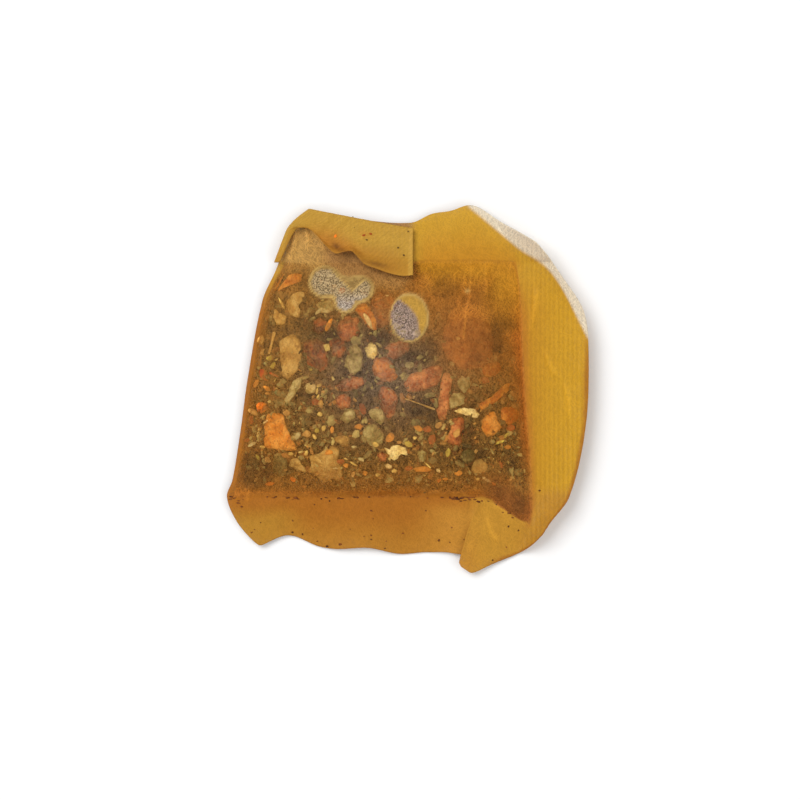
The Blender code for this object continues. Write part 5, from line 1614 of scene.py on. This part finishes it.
def buildSpecks():
    points, faces = [], []
    draw = np.random.default_rng(91)
    count = 6

    def speck(x, y, z, length, width, turn):
        start = len(points)
        for lift, share in ((0.35, 0.55), (0.0, 1.0), (-0.35, 0.55)):
            for k in range(count):
                a, r = 2.0 * math.pi * k / count, share * draw.uniform(0.8, 1.15)
                u, v = turned(0.5 * length * r * math.cos(a), 0.5 * width * r * math.sin(a), turn)
                points.append((x + u, y + v, z + lift * width))
        top, bottom = range(start, start + count), range(start + 2 * count, start + 3 * count)
        faces.extend([tuple(top), tuple(reversed(bottom))] + ringFaces(start, count, 3))

    for x, y, length, width, turn in specks:
        speck(x, y, topOfSheet(x, y)[0] + 0.1 * width, length, width, turn)
    for low, high, spread, number in seamRuns:
        for _ in range(number):
            x = draw.uniform(low, high)
            y = float(bottomLine(x - shiftX)) + shiftY + 0.15 + draw.normal(0.0, spread)
            z, side = topOfSheet(x, y)
            size = draw.uniform(0.3, 1.2)
            speck(x, y, z + 0.02 * side, size, draw.uniform(0.20, 0.46), draw.uniform(-14.0, 14.0))
    obj = meshObject("seamSpecks", points, faces)
    material, tree, shader, _, (tone, fine, _) = startHerb("darkCrumbHerb", 700, 3000)
    colour = ramp(tree, tone, ((0.1, linear(74, 38, 16)), (0.9, linear(132, 74, 32))))
    finishSurface(tree, shader, colour, mixFloat(tree, fine, 0.4, 0.7), dullness)
    obj.data.materials.append(material)
    return obj


finishPiece(buildSpecks(), "fine_cut_herbs")
print("specks placed")

# Lights, floor and camera

studio = {"fieldWidth": 160.0, "distance": 0.6, "overFloor": 0.004, "lookAt": (-1.44, -2.2), "world": 0.56,
          "floorHalf": 1.5, "floorTone": 0.92,
          "lamps": {"keyLight": (4.6, 0.5, (-0.35, 0.30, 0.75)), "fillLight": (1.9, 0.8, (0.5, -0.3, 0.7))}}


def addObject(name, data):
    obj = bpy.data.objects.new(name, data)
    scene.collection.objects.link(obj)
    return obj


def buildStage():
    half, tone = studio["floorHalf"], studio["floorTone"]
    mesh = bpy.data.meshes.new("floor")
    mesh.from_pydata([(-half, -half, 0), (half, -half, 0), (half, half, 0), (-half, half, 0)], [], [(0, 1, 2, 3)])
    material, tree, shader = startMaterial("paleFloor")
    shader.inputs["Base Color"].default_value = (tone, tone, tone, 1.0)
    shader.inputs["Roughness"].default_value = 0.9
    shader.inputs["Specular IOR Level"].default_value = 0.0
    mesh.materials.append(material)
    floor = addObject("floor", mesh)

    world = bpy.data.worlds.new("studio")
    scene.world = world
    world.use_nodes = True
    tree = world.node_tree
    back = tree.nodes["Background"]
    rays = tree.nodes.new("ShaderNodeLightPath")
    seen = rays.outputs["Is Camera Ray"]
    for ray in ("Is Glossy Ray", "Is Transmission Ray"):
        seen = mathNode(tree, "MAXIMUM", seen, rays.outputs[ray])
    tree.links.new(mixFloat(tree, seen, studio["world"], 1.0), back.inputs["Strength"])
    back.inputs["Color"].default_value = (1.0, 1.0, 1.0, 1.0)

    for name, (power, size, place) in studio["lamps"].items():
        light = bpy.data.lights.new(name, "AREA")
        light.energy = power
        light.size = size
        lamp = addObject(name, light)
        lamp.location = place
        lamp.rotation_euler = (-Vector(place)).to_track_quat("-Z", "Y").to_euler()

    camera = bpy.data.cameras.new("camera")
    camera.sensor_width = 36.0
    camera.lens = camera.sensor_width * studio["distance"] / (studio["fieldWidth"] * mm)
    scene.camera = addObject("camera", camera)
    x, y = studio["lookAt"]
    scene.camera.location = (x * mm, y * mm, studio["distance"] + studio["overFloor"])
    scene.view_settings.view_transform = "Standard"


buildStage()
